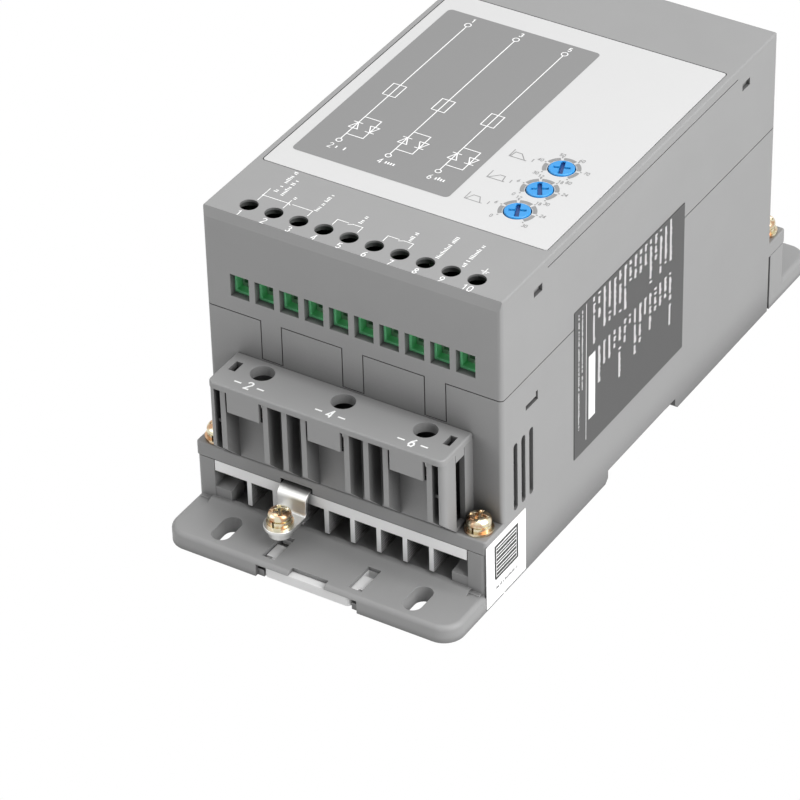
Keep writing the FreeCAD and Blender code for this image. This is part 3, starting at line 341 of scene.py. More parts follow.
class Print:
    """Flat marks of one ink, gathered as strips in the plane of a face and made into one mesh.

    Strips at one height would show black where they cross, so each lies a little above the one before
    it, in turns of nineteen.
    """

    STEPS = 19

    def __init__(self, origin, right, up):
        self.origin = np.array(origin, dtype=float)
        self.right = np.array(right, dtype=float)
        self.up = np.array(up, dtype=float)
        self.points = []
        self.quads = []
        self.layers = []
        self.count = 0

    def grid(self, points, rows, columns):
        """Adds a grid of points, rows by columns."""
        self.quads.append(grid_faces(rows, columns, False) + self.count)
        self.points.append(points)
        self.layers.append(np.full(len(points), len(self.layers) % self.STEPS))
        self.count += len(points)

    def stroke(self, path, width):
        """A line of even width, cut at sharp corners, where both parts run on by half the width."""
        path = np.asarray(path, dtype=float)
        step = np.diff(path, axis=0)
        step /= np.linalg.norm(step, axis=1)[:, None]
        turns = np.sum(step[:-1] * step[1:], axis=1)
        cuts = [0, *(np.flatnonzero(turns < 0.5) + 1), len(path) - 1]
        for first, last in zip(cuts[:-1], cuts[1:]):
            piece = path[first:last + 1].copy()
            if first > 0:
                piece[0] -= step[first] * width / 2
            if last < len(path) - 1:
                piece[-1] += step[last - 1] * width / 2
            self.strip(piece, width)

    def strip(self, path, width):
        """A smooth line: each point moves half the width along the mitre of its two segments."""
        step = np.diff(path, axis=0)
        step /= np.linalg.norm(step, axis=1)[:, None]
        if len(path) > 3 and np.allclose(path[0], path[-1]):
            before = np.vstack([step[-1], step])
            after = np.vstack([step, step[0]])
        else:
            before = np.vstack([step[0], step])
            after = np.vstack([step, step[-1]])
        mitre = before + after
        mitre /= np.linalg.norm(mitre, axis=1)[:, None]
        normal = np.stack([-mitre[:, 1], mitre[:, 0]], -1)
        reach = width / 2 / np.sum(mitre * after, axis=1)
        offset = normal * reach[:, None]
        self.grid(np.vstack([path + offset, path - offset]), 2, len(path))

    def bar(self, x0, y0, x1, y1):
        """A filled rectangle."""
        self.grid(np.array([[x0, y1], [x1, y1], [x0, y0], [x1, y0]], dtype=float), 2, 2)

    def arc(self, centre, radius, width, start=0.0, end=360.0):
        """A round line: centre plus radius times the cosine and sine of the angle in degrees."""
        angle = np.radians(np.linspace(start, end, max(9, int(abs(end - start) / 7.5) + 1)))
        path = np.stack([np.cos(angle), np.sin(angle)], -1) * radius + np.asarray(centre, dtype=float)
        self.stroke(path, width)

    def digits(self, text, centre, height, width):
        """Plain figures of a given height, centred on a point."""
        unit = height / 4
        advance = 3.0 * unit
        start = -advance * (len(text) - 1) / 2
        for place, figure in enumerate(text):
            path = (np.array(FIGURES[figure]) - FIGURE_MIDDLE) * unit + (start + advance * place, 0.0)
            self.stroke(path + np.asarray(centre, dtype=float), width)

    def words(self, start, step, length, height, seed):
        """A row of upright bars in groups, in place of wording, from start along the unit step."""
        draw = np.random.default_rng(seed)
        start = np.asarray(start, dtype=float)
        step = np.asarray(step, dtype=float)
        upright = np.array([-step[1], step[0]])
        pitch, width, below = 0.5 * height, 0.28 * height, 0.35 * height
        gap_share, short_share = 0.16, 0.65
        places = np.arange(0.0, length, pitch)
        shown = draw.random(len(places)) > gap_share
        above = np.where(draw.random(len(places)) > short_share, 0.55, 0.3) * height
        for place, rise in zip(places[shown], above[shown]):
            foot = start + step * place - upright * below
            self.stroke([foot, foot + upright * (rise + below)], width)

    def make(self, name, key, lift, slot):
        """Makes the mesh, raised above the face by lift, and by a twentieth of it more for each layer."""
        flat = np.vstack(self.points)
        out = np.cross(self.right, self.up)
        raised = lift * (1 + 0.05 * np.concatenate(self.layers)[:, None])
        places = self.origin + flat[:, :1] * self.right + flat[:, 1:] * self.up + out * raised
        quads = np.vstack(self.quads)
        corner = places[quads[:, :3]]
        turn = np.cross(corner[:, 1] - corner[:, 0], corner[:, 2] - corner[:, 0]) @ out
        quads[turn < 0] = quads[turn < 0][:, ::-1]
        item = mesh_object(name, places, quads, [key])
        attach(item, "enclosure")


# Strokes of each figure on a field two wide and four high
FIGURE_MIDDLE = (1.0, 2.0)
FIGURES = {
    "0": [(0, 1), (0.5, 0), (1.5, 0), (2, 1), (2, 3), (1.5, 4), (0.5, 4), (0, 3), (0, 1)],
    "1": [(0.3, 3.1), (1.2, 4), (1.2, 0)],
    "2": [(0, 3.2), (0.6, 4), (1.5, 4), (2, 3.4), (1.9, 2.6), (0, 0), (2, 0)],
    "3": [(0.1, 3.6), (0.7, 4), (1.5, 4), (1.9, 3.1), (1.1, 2.2), (2, 1.4), (1.6, 0.2), (0.7, 0), (0, 0.5)],
    "4": [(1.5, 0), (1.5, 4), (0, 1.2), (2, 1.2)],
    "5": [(1.9, 4), (0.3, 4), (0.1, 2.1), (1.2, 2.5), (2, 1.7), (1.7, 0.3), (0.8, 0), (0, 0.5)],
    "6": [(1.7, 4), (0.4, 2.4), (0, 1), (0.5, 0), (1.5, 0), (2, 1), (1.5, 2.1), (0.6, 2.1), (0.1, 1.3)],
    "7": [(0, 4), (2, 4), (0.7, 0)],
    "8": [(1, 2.1), (0.2, 3), (0.6, 4), (1.4, 4), (1.8, 3), (1, 2.1), (0, 1), (0.5, 0), (1.5, 0), (2, 1),
          (1, 2.1)],
    "9": [(0.3, 0), (1.6, 1.6), (2, 3), (1.5, 4), (0.5, 4), (0, 3), (0.5, 1.9), (1.4, 1.9), (1.9, 2.7)],
}


# Softened mouldings

SHARP = math.radians(35)


def soften(node, width, segments=2):
    """A copy of a CAD node with merged points and rounded edges, which stands for it."""
    source = frame["nodes"][node]
    shape = bmesh.new()
    shape.from_mesh(source.data)
    bmesh.ops.remove_doubles(shape, verts=shape.verts, dist=1e-6)
    bmesh.ops.dissolve_limit(shape, angle_limit=math.radians(0.5), verts=shape.verts, edges=shape.edges)
    for edge in shape.edges:
        edge.smooth = len(edge.link_faces) == 2 and edge.calc_face_angle() < SHARP
    mesh = bpy.data.meshes.new(node + "_softened")
    shape.to_mesh(mesh)
    shape.free()
    mesh.materials.clear()
    mesh.materials.append(MATERIALS[SUBPARTS[node]])
    mesh.polygons.foreach_set("use_smooth", np.ones(len(mesh.polygons), dtype=bool))
    item = bpy.data.objects.new(node + "_softened", mesh)
    bpy.context.scene.collection.objects.link(item)
    bevel = item.modifiers.new("rounded_edges", "BEVEL")
    bevel.width = width * MM
    bevel.segments = segments
    bevel.limit_method = "ANGLE"
    bevel.angle_limit = SHARP
    bevel.use_clamp_overlap = True
    bevel.harden_normals = False
    weigh = item.modifiers.new("flat_faces", "WEIGHTED_NORMAL")
    weigh.keep_sharp = True
    weigh.weight = 100
    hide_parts(node)
    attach(item, BODIES[node])


# Screws and knobs

def slot_recess(across, along, width, reach, softness):
    """One inside a slot of the given width and half length, zero outside, with a soft wall between."""
    wall = np.minimum(width / 2 - np.abs(across), reach - np.abs(along))
    return np.clip(wall / softness + 0.5, 0, 1)


def cross_recess(x, y, arm, reach, softness):
    """Two slots of one width and half length, crossed at a right angle."""
    return np.maximum(slot_recess(x, y, arm, reach, softness), slot_recess(y, x, arm, reach, softness))


def screw_surface(radius, height, shank_radius, shank_length, arm, reach, depth):
    """A pan-head screw as a surface of revolution with a cross recess.

    The top is height times the root of one minus the third power of r over the radius, less the recess
    depth times the cross; the side drops to a bevel at the seat, and the shank goes on to its tip.
    """
    around, rings = 96, 40
    bevel, side = 0.14 * height, 0.32 * height
    softness = 0.18
    angle = np.linspace(0, 2 * math.pi, around, endpoint=False)
    share = np.sin(np.linspace(0, math.pi / 2, rings)) ** 0.9
    r = np.concatenate([share * radius, [radius, radius - bevel, shank_radius, shank_radius, 0.0]])
    dome = 0.68 * height * np.sqrt(1 - share ** 3) + side
    z = np.concatenate([dome, [bevel, 0.0, 0.0, -shank_length, -shank_length]])
    x = r[:, None] * np.cos(angle)
    y = r[:, None] * np.sin(angle)
    z = np.repeat(z[:, None], around, axis=1)
    cross = cross_recess(x[:rings], y[:rings], arm, reach, softness)
    cone = depth * (1 - 0.45 * np.clip(np.hypot(x[:rings], y[:rings]) / reach, 0, 1))
    z[:rings] -= cone * cross
    points = np.stack([x, y, z], -1).reshape(-1, 3)
    return points, grid_faces(len(r), around, True)[:, ::-1]


def turned(points, degrees):
    """The points, turned about the vertical axis."""
    c, s = math.cos(math.radians(degrees)), math.sin(math.radians(degrees))
    return points @ np.array([[c, s, 0], [-s, c, 0], [0, 0, 1]])


def screw_set(node, places, turns, seat, radius, height, shank_radius, tip, slot):
    """Screws at several places as one mesh that stands for a CAD node."""
    points, faces = screw_surface(radius, height, shank_radius, seat - tip, arm=0.27 * radius,
                                  reach=0.72 * radius, depth=0.42 * height)
    vertices = []
    quads = []
    for index, (x, y) in enumerate(places):
        vertices.append(turned(points, turns[index % len(turns)]) + (x, y, seat))
        quads.append(faces + index * len(points))
    item = mesh_object(node + "_heads", np.vstack(vertices), np.vstack(quads), [slot], smooth=True)
    close_poles(item)
    edge = item.modifiers.new("crisp_edges", "EDGE_SPLIT")
    edge.split_angle = math.radians(40)
    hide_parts(node)
    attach(item, "enclosure")


def knob_surface(radius, bottom, top, wide, narrow, depth):
    """A trimmer's rotor: a disc with a rounded rim, a wide slot and a narrow one across it.

    The face is flat, less the depth times the slots,
    and its rim falls as a quarter circle to the side. Also tells which faces lie deep in a slot, which take
    the dark case colour as painted shade.
    """
    around, rings = 120, 44
    rim, softness = 0.35, 0.12
    angle = np.linspace(0, 2 * math.pi, around, endpoint=False)
    inner = np.linspace(0, radius - rim, rings)
    fall = np.linspace(0, math.pi / 2, 6)[1:]
    r = np.concatenate([inner, radius - rim + rim * np.sin(fall), [radius, 0.0]])
    z = np.concatenate([np.full(rings, top), top - rim * (1 - np.cos(fall)), [bottom, bottom]])
    x = r[:, None] * np.cos(angle)
    y = r[:, None] * np.sin(angle)
    z = np.repeat(z[:, None], around, axis=1)
    cross = np.maximum(slot_recess(x, y, *wide, softness), slot_recess(y, x, *narrow, softness))
    cross[-2:] = 0
    z -= depth * cross
    faces = grid_faces(len(r), around, True)[:, ::-1]
    deep = cross.reshape(-1)[faces].mean(axis=1) > 0.6
    return np.stack([x, y, z], -1).reshape(-1, 3), faces, deep


# Settings

class SoftStarterColours(bpy.types.PropertyGroup):
    """Colours of the finishes."""

    housing: bpy.props.FloatVectorProperty(name="Housing", description="Mouldings of the housing and base",
                                           subtype="COLOR", size=4, min=0, max=1, default=linear("909090"))
    clip: bpy.props.FloatVectorProperty(name="Rail clip", description="Sliding rail clip",
                                        subtype="COLOR", size=4, min=0, max=1, default=linear("DEDEDE"))
    aluminium: bpy.props.FloatVectorProperty(name="Heat sink", description="Anodised extrusion",
                                             subtype="COLOR", size=4, min=0, max=1, default=linear("F2F2F2"))
    plate: bpy.props.FloatVectorProperty(name="Front plate", description="Film on the front plate",
                                         subtype="COLOR", size=4, min=0, max=1, default=linear("C9C9C9"))
    panel: bpy.props.FloatVectorProperty(name="Panel", description="Printed field of the circuit drawing",
                                         subtype="COLOR", size=4, min=0, max=1, default=linear("7F7F7F"))
    label: bpy.props.FloatVectorProperty(name="Label", description="Ground of the rating label",
                                         subtype="COLOR", size=4, min=0, max=1, default=linear("424242"))
    terminal: bpy.props.FloatVectorProperty(name="Control terminals", description="Plug-in terminal block",
                                            subtype="COLOR", size=4, min=0, max=1, default=linear("80E4A2"))
    knob: bpy.props.FloatVectorProperty(name="Trimmer", description="Rotors of the setting trimmers",
                                        subtype="COLOR", size=4, min=0, max=1, default=linear("2B8FD3"))
    # the trimmer case colour, also used as painted shade on the faces deep in the rotors' slots
    trimmer_case_and_slot_shade: bpy.props.FloatVectorProperty(name="Trimmer slot", description="Slots of the trimmers",
                                             subtype="COLOR", size=4, min=0, max=1, default=linear("12407E"))


class SoftStarterSizes(bpy.types.PropertyGroup):
    """Sizes of the prints and softened edges."""

    shell_edge: bpy.props.FloatProperty(name="Shell edge", description="Rounding of the moulded edges",
                                        default=0.25 * MM, min=0.0, unit="LENGTH", precision=5)
    fine_edge: bpy.props.FloatProperty(name="Fine edge", description="Rounding of the small mouldings' edges",
                                       default=0.12 * MM, min=0.0, unit="LENGTH", precision=5)
    lift: bpy.props.FloatProperty(name="Ink lift", description="Height of a print above its face",
                                  default=0.03 * MM, min=0.0, unit="LENGTH", precision=5)
    line: bpy.props.FloatProperty(name="Line width", description="Width of the printed lines",
                                  default=0.36 * MM, min=0.0, unit="LENGTH", precision=5)
    figure: bpy.props.FloatProperty(name="Figure height", description="Height of the terminal numbers",
                                    default=2.2 * MM, min=0.0, unit="LENGTH", precision=5)


class SoftStarterStage(bpy.types.PropertyGroup):
    """Camera and lamps."""

    azimuth: bpy.props.FloatProperty(name="Azimuth", description="Camera's direction about the vertical",
                                     default=math.radians(30.753), subtype="ANGLE")
    elevation: bpy.props.FloatProperty(name="Elevation", description="Camera's height above the horizon",
                                       default=math.radians(37.479), subtype="ANGLE")
    roll: bpy.props.FloatProperty(name="Roll", description="Camera's turn about its own axis",
                                  default=math.radians(-0.577), subtype="ANGLE")
    place: bpy.props.FloatVectorProperty(name="Camera place", description="Camera's place",
                                         default=(0.49777, -0.83624, 0.71189), subtype="TRANSLATION")
    lens: bpy.props.FloatProperty(name="Lens", description="Focal length for a 36 mm sensor, in millimetres",
                                  default=194.206, unit="CAMERA")
    shift: bpy.props.FloatVectorProperty(name="Shift", description="Sensor shift, in shares of its width",
                                         size=2, default=(-0.12807, 0.11844))
    key_power: bpy.props.FloatProperty(name="Key lamp", description="Power of the lamp over the right side",
                                       default=15.0, min=0.0, unit="POWER")
    top_power: bpy.props.FloatProperty(name="Top lamp", description="Power of the lamp above",
                                       default=9.5, min=0.0, unit="POWER")
    front_power: bpy.props.FloatProperty(name="Front lamp", description="Power of the lamp before the front",
                                         default=3.3, min=0.0, unit="POWER")
    ambient: bpy.props.FloatProperty(name="Surround", description="Brightness of the white surround",
                                     default=0.08, min=0.0)


# Prints of each face

CONTROL_PITCH = 7.62
PHASE_PITCH = 25.0


def top_print(height=None):
    """A print plane on the lid: across is +X from the middle, up is +Y from the front edge."""
    return Print((0, FRONT, TOP if height is None else height), (1, 0, 0), (0, 1, 0))


def terminal_prints(sizes):
    """White numbers, brackets and short rows of bars round the ten driver holes.

    The brackets join the holes of one contact: feet beside the holes, a level head and a switch blade.
    """
    line = sizes.line / MM
    figure = sizes.figure / MM
    fine = 0.7 * line
    hole_y = (low("control_terminal_screws")[1] + high("control_terminal_screws")[1]) / 2 - FRONT
    number_y = 1.9
    xs = [(index - 4.5) * CONTROL_PITCH for index in range(10)]
    marks = top_print()
    for index, x in enumerate(xs):
        marks.digits(str(index + 1), (x - 0.3, number_y), figure, 0.8 * line)
    foot = hole_y + 2.9
    head = hole_y + 5.6
    for first, last in ((3, 4), (5, 6)):
        left, right = xs[first] + 0.7, xs[last] + 0.7
        middle = (left + right) / 2
        marks.stroke([(left, foot), (left, head), (middle - 0.4, head)], fine)
        marks.stroke([(middle - 0.4, head - 0.7), (middle + 0.9, head), (right, head), (right, foot)], fine)
        marks.words((middle + 2.2, head + 0.8), (0, 1), 4.4, 1.3, first)
    left, middle, right = xs[0] + 0.7, xs[1] + 0.9, xs[2] + 0.7
    marks.stroke([(left, foot), (left, head + 3.6)], fine)
    marks.stroke([(left, head), (middle, head), (middle + 0.9, head - 0.6)], fine)
    marks.stroke([(middle + 1.2, head), (right, head), (right, foot)], fine)
    marks.stroke([(middle, foot), (middle, head + 1.6)], fine)
    marks.arc((left, head), 0.15, 0.3)
    marks.arc((middle, head), 0.15, 0.3)
    marks.words((left + 2.0, head + 2.4), (0, 1), 11.0, 1.35, 11)
    marks.words((left + 4.2, head + 2.4), (0, 1), 8.4, 1.35, 12)
    marks.words((middle + 0.3, head + 2.4), (0, 1), 1.4, 1.3, 16)
    marks.words((right + 0.7, head + 0.6), (0, 1), 8.6, 1.25, 13)
    marks.words((xs[7] + 1.6, foot + 0.4), (0, 1), 10.6, 1.3, 14)
    marks.words((xs[8] + 1.6, foot + 0.4), (0, 1), 10.6, 1.3, 15)
    earth = xs[9]
    marks.stroke([(earth, foot + 2.6), (earth, foot + 1.2)], fine)
    for row, half in enumerate((1.2, 0.75, 0.3)):
        marks.stroke([(earth - half, foot + 1.2 - 0.55 * row), (earth + half, foot + 1.2 - 0.55 * row)], fine)
    marks.make("control_terminal_numbers", "white_ink", sizes.lift / MM, "housing_plastic")


def panel_field(sizes):
    """The mid grey field: its right edge with two quarter circles, joined across to its mirror image."""
    plate_low, plate_high = low("front_plate"), high("front_plate")
    left, right = plate_low[0] + 3.6, plate_low[0] + 51.7
    front, back = plate_low[1] - FRONT + 8.1, plate_high[1] - FRONT - 8.0
    radius = 1.4
    turn = np.radians(np.linspace(0, 90, 10))
    inset = radius * (1 - np.cos(turn))
    rise = radius * np.sin(turn)
    x = np.concatenate([right - inset[::-1], right - inset])
    y = np.concatenate([front + radius - rise[::-1], back - radius + rise])
    field = top_print(plate_high[2])
    field.grid(np.vstack([np.stack([left + right - x, y], -1), np.stack([x, y], -1)]), 2, len(x))
    field.make("circuit_panel_field", "panel_ink", sizes.lift / MM, "front_film")
    return right, front, back


def valve_symbol(marks, x, middle, way, line):
    """A triangle that points up or down, with a bar across its tip."""
    half, rise = 1.4, 1.5
    tip = middle + way * rise
    base = middle - way * rise
    marks.stroke([(x - half, base), (x + half, base), (x, tip), (x - half, base)], line)
    marks.stroke([(x - half, tip), (x + half, tip)], line)


def circuit_lines(sizes, right, front, back):
    """Three plain current paths with a switching symbol each, in white on the grey field."""
    line = sizes.line / MM * 0.85
    last, pitch = right - 8.6, 15.3
    start = front + 9.6
    loop_low, loop_high, loop_width = start + 3.6, start + 13.0, 5.2
    box_low, box_height, box_half = loop_high + 12.0, 6.0, 2.0
    marks = top_print(high("front_plate")[2])
    for index in range(3):
        x = last - pitch * (2 - index)
        marks.arc((x, start), 0.8, line)
        marks.stroke([(x, start + 0.8), (x, back - 6.0)], line)
        marks.stroke([(x, loop_low), (x + loop_width, loop_low), (x + loop_width, loop_high),
                      (x, loop_high)], line)
        for side, way in ((0.0, 1), (loop_width, -1)):
            valve_symbol(marks, x + side, (loop_low + loop_high) / 2, way, line)
        marks.stroke([(x - box_half, box_low), (x + box_half, box_low), (x + box_half, box_low + box_height),
                      (x - box_half, box_low + box_height), (x - box_half, box_low)], line)
        marks.arc((x, back - 5.1), 0.9, line)
        marks.digits(str(2 * index + 2), (x - 0.6, start - 3.2), 2.1, 0.85 * line)
        marks.words((x + 1.2, start - 3.2), (1, 0), 3.0, 1.6, 80 + index)
        marks.digits(str(2 * index + 1), (x + 0.2, back - 2.4), 1.7, line)
    marks.make("circuit_lines", "white_ink", 2 * sizes.lift / MM, "front_film")


DIAL_FIGURES = (("0", "6", "12", "18", "24", "30"), ("0", "6", "12", "18", "24", "30"),
                ("30", "40", "50", "60", "70", "80"))


def dial_centres():
    """Middle of each trimmer knob, in the print plane of the lid."""
    return [tuple((low(node)[:2] + high(node)[:2]) / 2 - (0, FRONT))
            for node in ("trimmer_knob_1", "trimmer_knob_2", "trimmer_knob_3")]


def dial_prints(sizes):
    """Grey ring scales with ticks and numbers round the trimmers."""
    line = sizes.line / MM
    first, step, gap = 225, 54, 5
    ring_radius, ring_width = 4.6, 1.15
    tick_start, tick_end = 5.1, 5.6
    marks = top_print(high("front_plate")[2])
    for figures, (x, y) in zip(DIAL_FIGURES, dial_centres()):
        for index in range(5):
            start = first - step * index - gap
            marks.arc((x, y), ring_radius, ring_width, start, start - (step - 2 * gap))
        for index, text in enumerate(figures):
            angle = math.radians(first - step * index)
            away = np.array([math.cos(angle), math.sin(angle)])
            marks.stroke([(x, y) + away * tick_start, (x, y) + away * tick_end], line)
            reach = 6.5 if index in (2, 3) else 7.0
            marks.digits(text, (x, y) + away * reach, 1.15, line * 0.5)
    marks.make("dial_scales", "grey_ink", sizes.lift / MM, "front_film")


def dial_graphs(sizes):
    """A small graph of voltage over time by each trimmer: two axes, a ramp up and a ramp down."""
    line = sizes.line / MM * 0.7
    beside, axis_width, axis_height = 15.1, 5.2, 3.4
    marks = top_print(high("front_plate")[2])
    for (x, y), rise, fall in zip(dial_centres(), (1.2, 2.4, 0.4), (1.2, 0.4, 2.0)):
        x0, y0 = x - beside, y - 1.4
        marks.stroke([(x0, y0 + axis_height), (x0, y0), (x0 + axis_width, y0)], line)
        marks.stroke([(x0 + 0.3, y0), (x0 + 0.3 + rise, y0 + 2.4), (x0 + 4.6 - fall, y0 + 2.4),
                      (x0 + 4.6, y0)], line)
        marks.stroke([(x0 + 6.6, y0 + 0.4), (x0 + 6.6, y0 + 1.8)], line)
    marks.make("dial_graphs", "grey_ink", sizes.lift / MM, "front_film")


def cover_marks(sizes):
    """Terminal numbers on the two terminal covers, with a short bar at each side."""
    line, height, middle_y = 0.55, 3.0, 3.5
    for node, first, sign in (("load_terminal_cover", 2, -1), ("line_terminal_cover", 1, 1)):
        edge = low(node)[1] if sign < 0 else high(node)[1]
        marks = Print((0, edge, high(node)[2]), (-sign, 0, 0), (0, -sign, 0))
        for index in range(3):
            x = (index - 1) * PHASE_PITCH
            marks.digits(str(first + 2 * index), (x, middle_y), height, line)
            for side in (-1, 1):
                marks.stroke([(x + side * 2.4, middle_y), (x + side * 4.6, middle_y)], line)
        marks.make(node + "_numbers", "white_ink", sizes.lift / MM, "cover_plastic")


# Lengths of the label's rows, in millimetres: the left column and the right one
NAME_LENGTHS = (14.4, 8.0, 13.9, 12.1, 13.3, 13.5, 13.7, 6.2, 8.7, 6.8, 6.4)
VALUE_LENGTHS = (11.8, 7.2, 7.3, 6.5, 17.0, 6.9, 3.0, 14.7, 12.6, 5.6)


def label_print(sizes):
    """White rows of short bars in two columns, one rule and one blank field on the rating label."""
    label_low, label_high = low("rating_label"), high("rating_label")
    marks = Print((label_high[0], FRONT, 0), (0, 1, 0), (0, 0, 1))
    y0, y1 = label_low[1] - FRONT, label_high[1] - FRONT
    z0, z1 = label_low[2], label_high[2]
    names, values = z1 - 1.0, z1 - 18.4
    small, height = 0.7, 1.5
    marks.words((y0 + 2.2, z1 - 1.8), (0, -1), 37.3, small, 20)
    marks.words((y0 + 4.0, z1 - 1.5), (0, -1), 25.4, small, 21)
    marks.stroke([(y0 + 6.1, z0 + 3.0), (y0 + 6.1, z1 - 0.5)], 0.22)
    marks.bar(y0 + 7.5, z0 + 8.7, y0 + 11.0, values)
    first, pitch = y0 + 10.2, 2.8
    rows = int((y1 - 3.0 - first) / pitch)
    for row in range(rows):
        y = first + pitch * row
        marks.words((y, names), (0, -1), NAME_LENGTHS[row % len(NAME_LENGTHS)], height, 30 + row)
        if row > 0:
            length = VALUE_LENGTHS[(row - 1) % len(VALUE_LENGTHS)]
            marks.words((y, values), (0, -1), length, height, 60 + row)
    marks.make("rating_label_rows", "white_ink", sizes.lift / MM, "label_film")


def sticker_print(sizes):
    """A hatched square and one row of bars on the side sticker."""
    sticker_low, sticker_high = low("side_sticker"), high("side_sticker")
    marks = Print((sticker_high[0], FRONT, 0), (0, 1, 0), (0, 0, 1))
    y0 = sticker_low[1] - FRONT
    y1 = sticker_high[1] - FRONT
    z0, z1 = sticker_low[2], sticker_high[2]
    margin_y = (y1 - y0) * 0.22
    left, right = y0 + margin_y, y1 - margin_y
    bottom, top = z0 + (z1 - z0) * 0.36, z1 - (z1 - z0) * 0.12
    marks.stroke(np.array([(left, bottom), (right, bottom), (right, top), (left, top), (left, bottom)]), 0.8)
    count = 9
    for index in range(1, count):
        share = index / count
        marks.stroke([(left + 0.6, bottom + (top - bottom) * share),
                      (right - 0.6, bottom + (top - bottom) * share)], 0.95 if index % 2 else 0.6)
    marks.words((left, z0 + (z1 - z0) * 0.2), (1, 0), right - left, 1.0, 3)
    marks.make("side_sticker_marks", "black_ink", sizes.lift / MM, "sticker_paper")


# Stage

def area_lamp(name, power, size, place, aim):
    """A square area lamp that looks from its place at an aim point, both in millimetres."""
    lamp = bpy.data.lights.new(name, "AREA")
    lamp.energy = power
    lamp.size = size
    item = bpy.data.objects.new(name, lamp)
    bpy.context.scene.collection.objects.link(item)
    start = np.array(place) * MM
    back = start - np.array(aim) * MM
    back /= np.linalg.norm(back)
    right = np.cross((0.0, 0.0, 1.0) if abs(back[2]) < 0.99 else (0.0, 1.0, 0.0), back)
    right /= np.linalg.norm(right)
    up = np.cross(back, right)
    item.matrix_world = Matrix([(*row, at) for row, at in zip(np.stack([right, up, back], 1), start)]
                               + [(0, 0, 0, 1)])


WHITE = (1.0, 1.0, 1.0, 1.0)


def white_to_camera(tree, lit, output):
    """Sends plain white to camera, glossy and transmission rays, and the lit shader to all others."""
    path = add_node(tree, "ShaderNodeLightPath").outputs
    glossy = add_node(tree, "ShaderNodeMath", {"operation": "MAXIMUM"},
                      {0: path["Is Glossy Ray"], 1: path["Is Transmission Ray"]})
    seen = add_node(tree, "ShaderNodeMath", {"operation": "MAXIMUM"},
                    {0: path["Is Camera Ray"], 1: glossy.outputs["Value"]})
    on_floor = output.bl_idname == "ShaderNodeOutputMaterial"
    white = add_node(tree, "ShaderNodeEmission" if on_floor else "ShaderNodeBackground", {},
                     {"Color": WHITE, "Strength": 1.0})
    mix = add_node(tree, "ShaderNodeMixShader", {}, {"Fac": seen.outputs["Value"], 1: lit.outputs[0],
                                                     2: white.outputs[0]})
    fill(tree, output, {"Surface": mix.outputs["Shader"]})


def build_world(strength):
    """An even white surround, plain white behind the object."""
    world = bpy.data.worlds.new("studio_surround")
    bpy.context.scene.world = world
    world.use_nodes = True
    tree = world.node_tree
    lit = tree.nodes["Background"]
    fill(tree, lit, {"Color": WHITE, "Strength": strength})
    white_to_camera(tree, lit, tree.nodes["World Output"])


def build_floor():
    """A pale floor under the part."""
    material, shader = new_material("pale_matt_floor")
    tree = material.node_tree
    fill(tree, shader, {"Base Color": linear("DCDCDC"), "Roughness": 0.9})
    white_to_camera(tree, shader, tree.nodes["Material Output"])
    MATERIALS["floor"] = material
    half = 3000.0
    level = CAD_LOW[2] / MM - 0.05
    corners = [(-half, -half, level), (half, -half, level), (half, half, level), (-half, half, level)]
    floor = mesh_object("floor", corners, [(0, 1, 2, 3)], ["floor"])


def build_camera(stage):
    """The photograph's camera, from its angles: back is the way from the part to the camera."""
    camera = bpy.data.cameras.new("camera")
    camera.sensor_width = 36.0
    camera.lens = stage.lens
    camera.shift_x = stage.shift[0]
    camera.shift_y = stage.shift[1]
    item = bpy.data.objects.new("camera", camera)
    bpy.context.scene.collection.objects.link(item)
    turn, rise, roll = stage.azimuth, stage.elevation, stage.roll
    back = np.array([math.sin(turn) * math.cos(rise), -math.cos(turn) * math.cos(rise), math.sin(rise)])
    right = np.array([math.cos(turn), math.sin(turn), 0.0])
    up = np.cross(back, right)
    across = right * math.cos(roll) + up * math.sin(roll)
    upward = up * math.cos(roll) - right * math.sin(roll)
    rows = np.stack([across, upward, back], 1)
    item.matrix_world = Matrix([(*row, at) for row, at in zip(rows, stage.place)] + [(0, 0, 0, 1)])
    bpy.context.scene.camera = item


# Operators

class SOFTSTARTER_OT_finishes(bpy.types.Operator):
    """Give every CAD node the finish of its material slot"""

    bl_idname = "soft_starter.finishes"
    bl_label = "Finishes"

    def execute(self, context):
        colours = context.scene.soft_starter_colours
        for group in (plastics, metals, inks):
            MATERIALS.update(group(colours))
        for name, item in frame["nodes"].items():
            item.data.materials.clear()
            item.data.materials.append(MATERIALS[SUBPARTS[name]])
        return {"FINISHED"}


class SOFTSTARTER_OT_mouldings(bpy.types.Operator):
    """Round the edges of the housing, base, covers and clip"""

    bl_idname = "soft_starter.mouldings"
    bl_label = "Mouldings"

    def execute(self, context):
        sizes = context.scene.soft_starter_sizes
        for name in ("mounting_base", "lower_housing", "upper_housing"):
            soften(name, sizes.shell_edge / MM)
        for name in ("load_terminal_cover", "line_terminal_cover", "din_clip", "heat_sink",
                     "control_terminal_block", "earth_tab"):
            soften(name, sizes.fine_edge / MM)
        return {"FINISHED"}


class SOFTSTARTER_OT_screws(bpy.types.Operator):
    """Make the pan-head screws with their cross recesses"""

    bl_idname = "soft_starter.screws"
    bl_label = "Screws"

    def execute(self, context):
        radius, height, shank_radius = 3.4, 2.5, 2.0
        lowest, highest = low("housing_screws"), high("housing_screws")
        x = highest[0] - radius
        y = highest[1] - radius
        seat = highest[2] - height
        places = [(side * x, end * y) for side in (-1, 1) for end in (-1, 1)]
        screw_set("housing_screws", places, (20, 52, 8, 33), seat, radius, height, shank_radius, lowest[2],
                  "yellow_zinc")
        lowest, highest = low("earth_screw"), high("earth_screw")
        middle = (lowest + highest) / 2
        radius = (highest[0] - lowest[0]) / 2
        screw_set("earth_screw", [tuple(middle[:2])], (38,), highest[2] - height, radius, height,
                  shank_radius, lowest[2], "yellow_zinc")
        return {"FINISHED"}


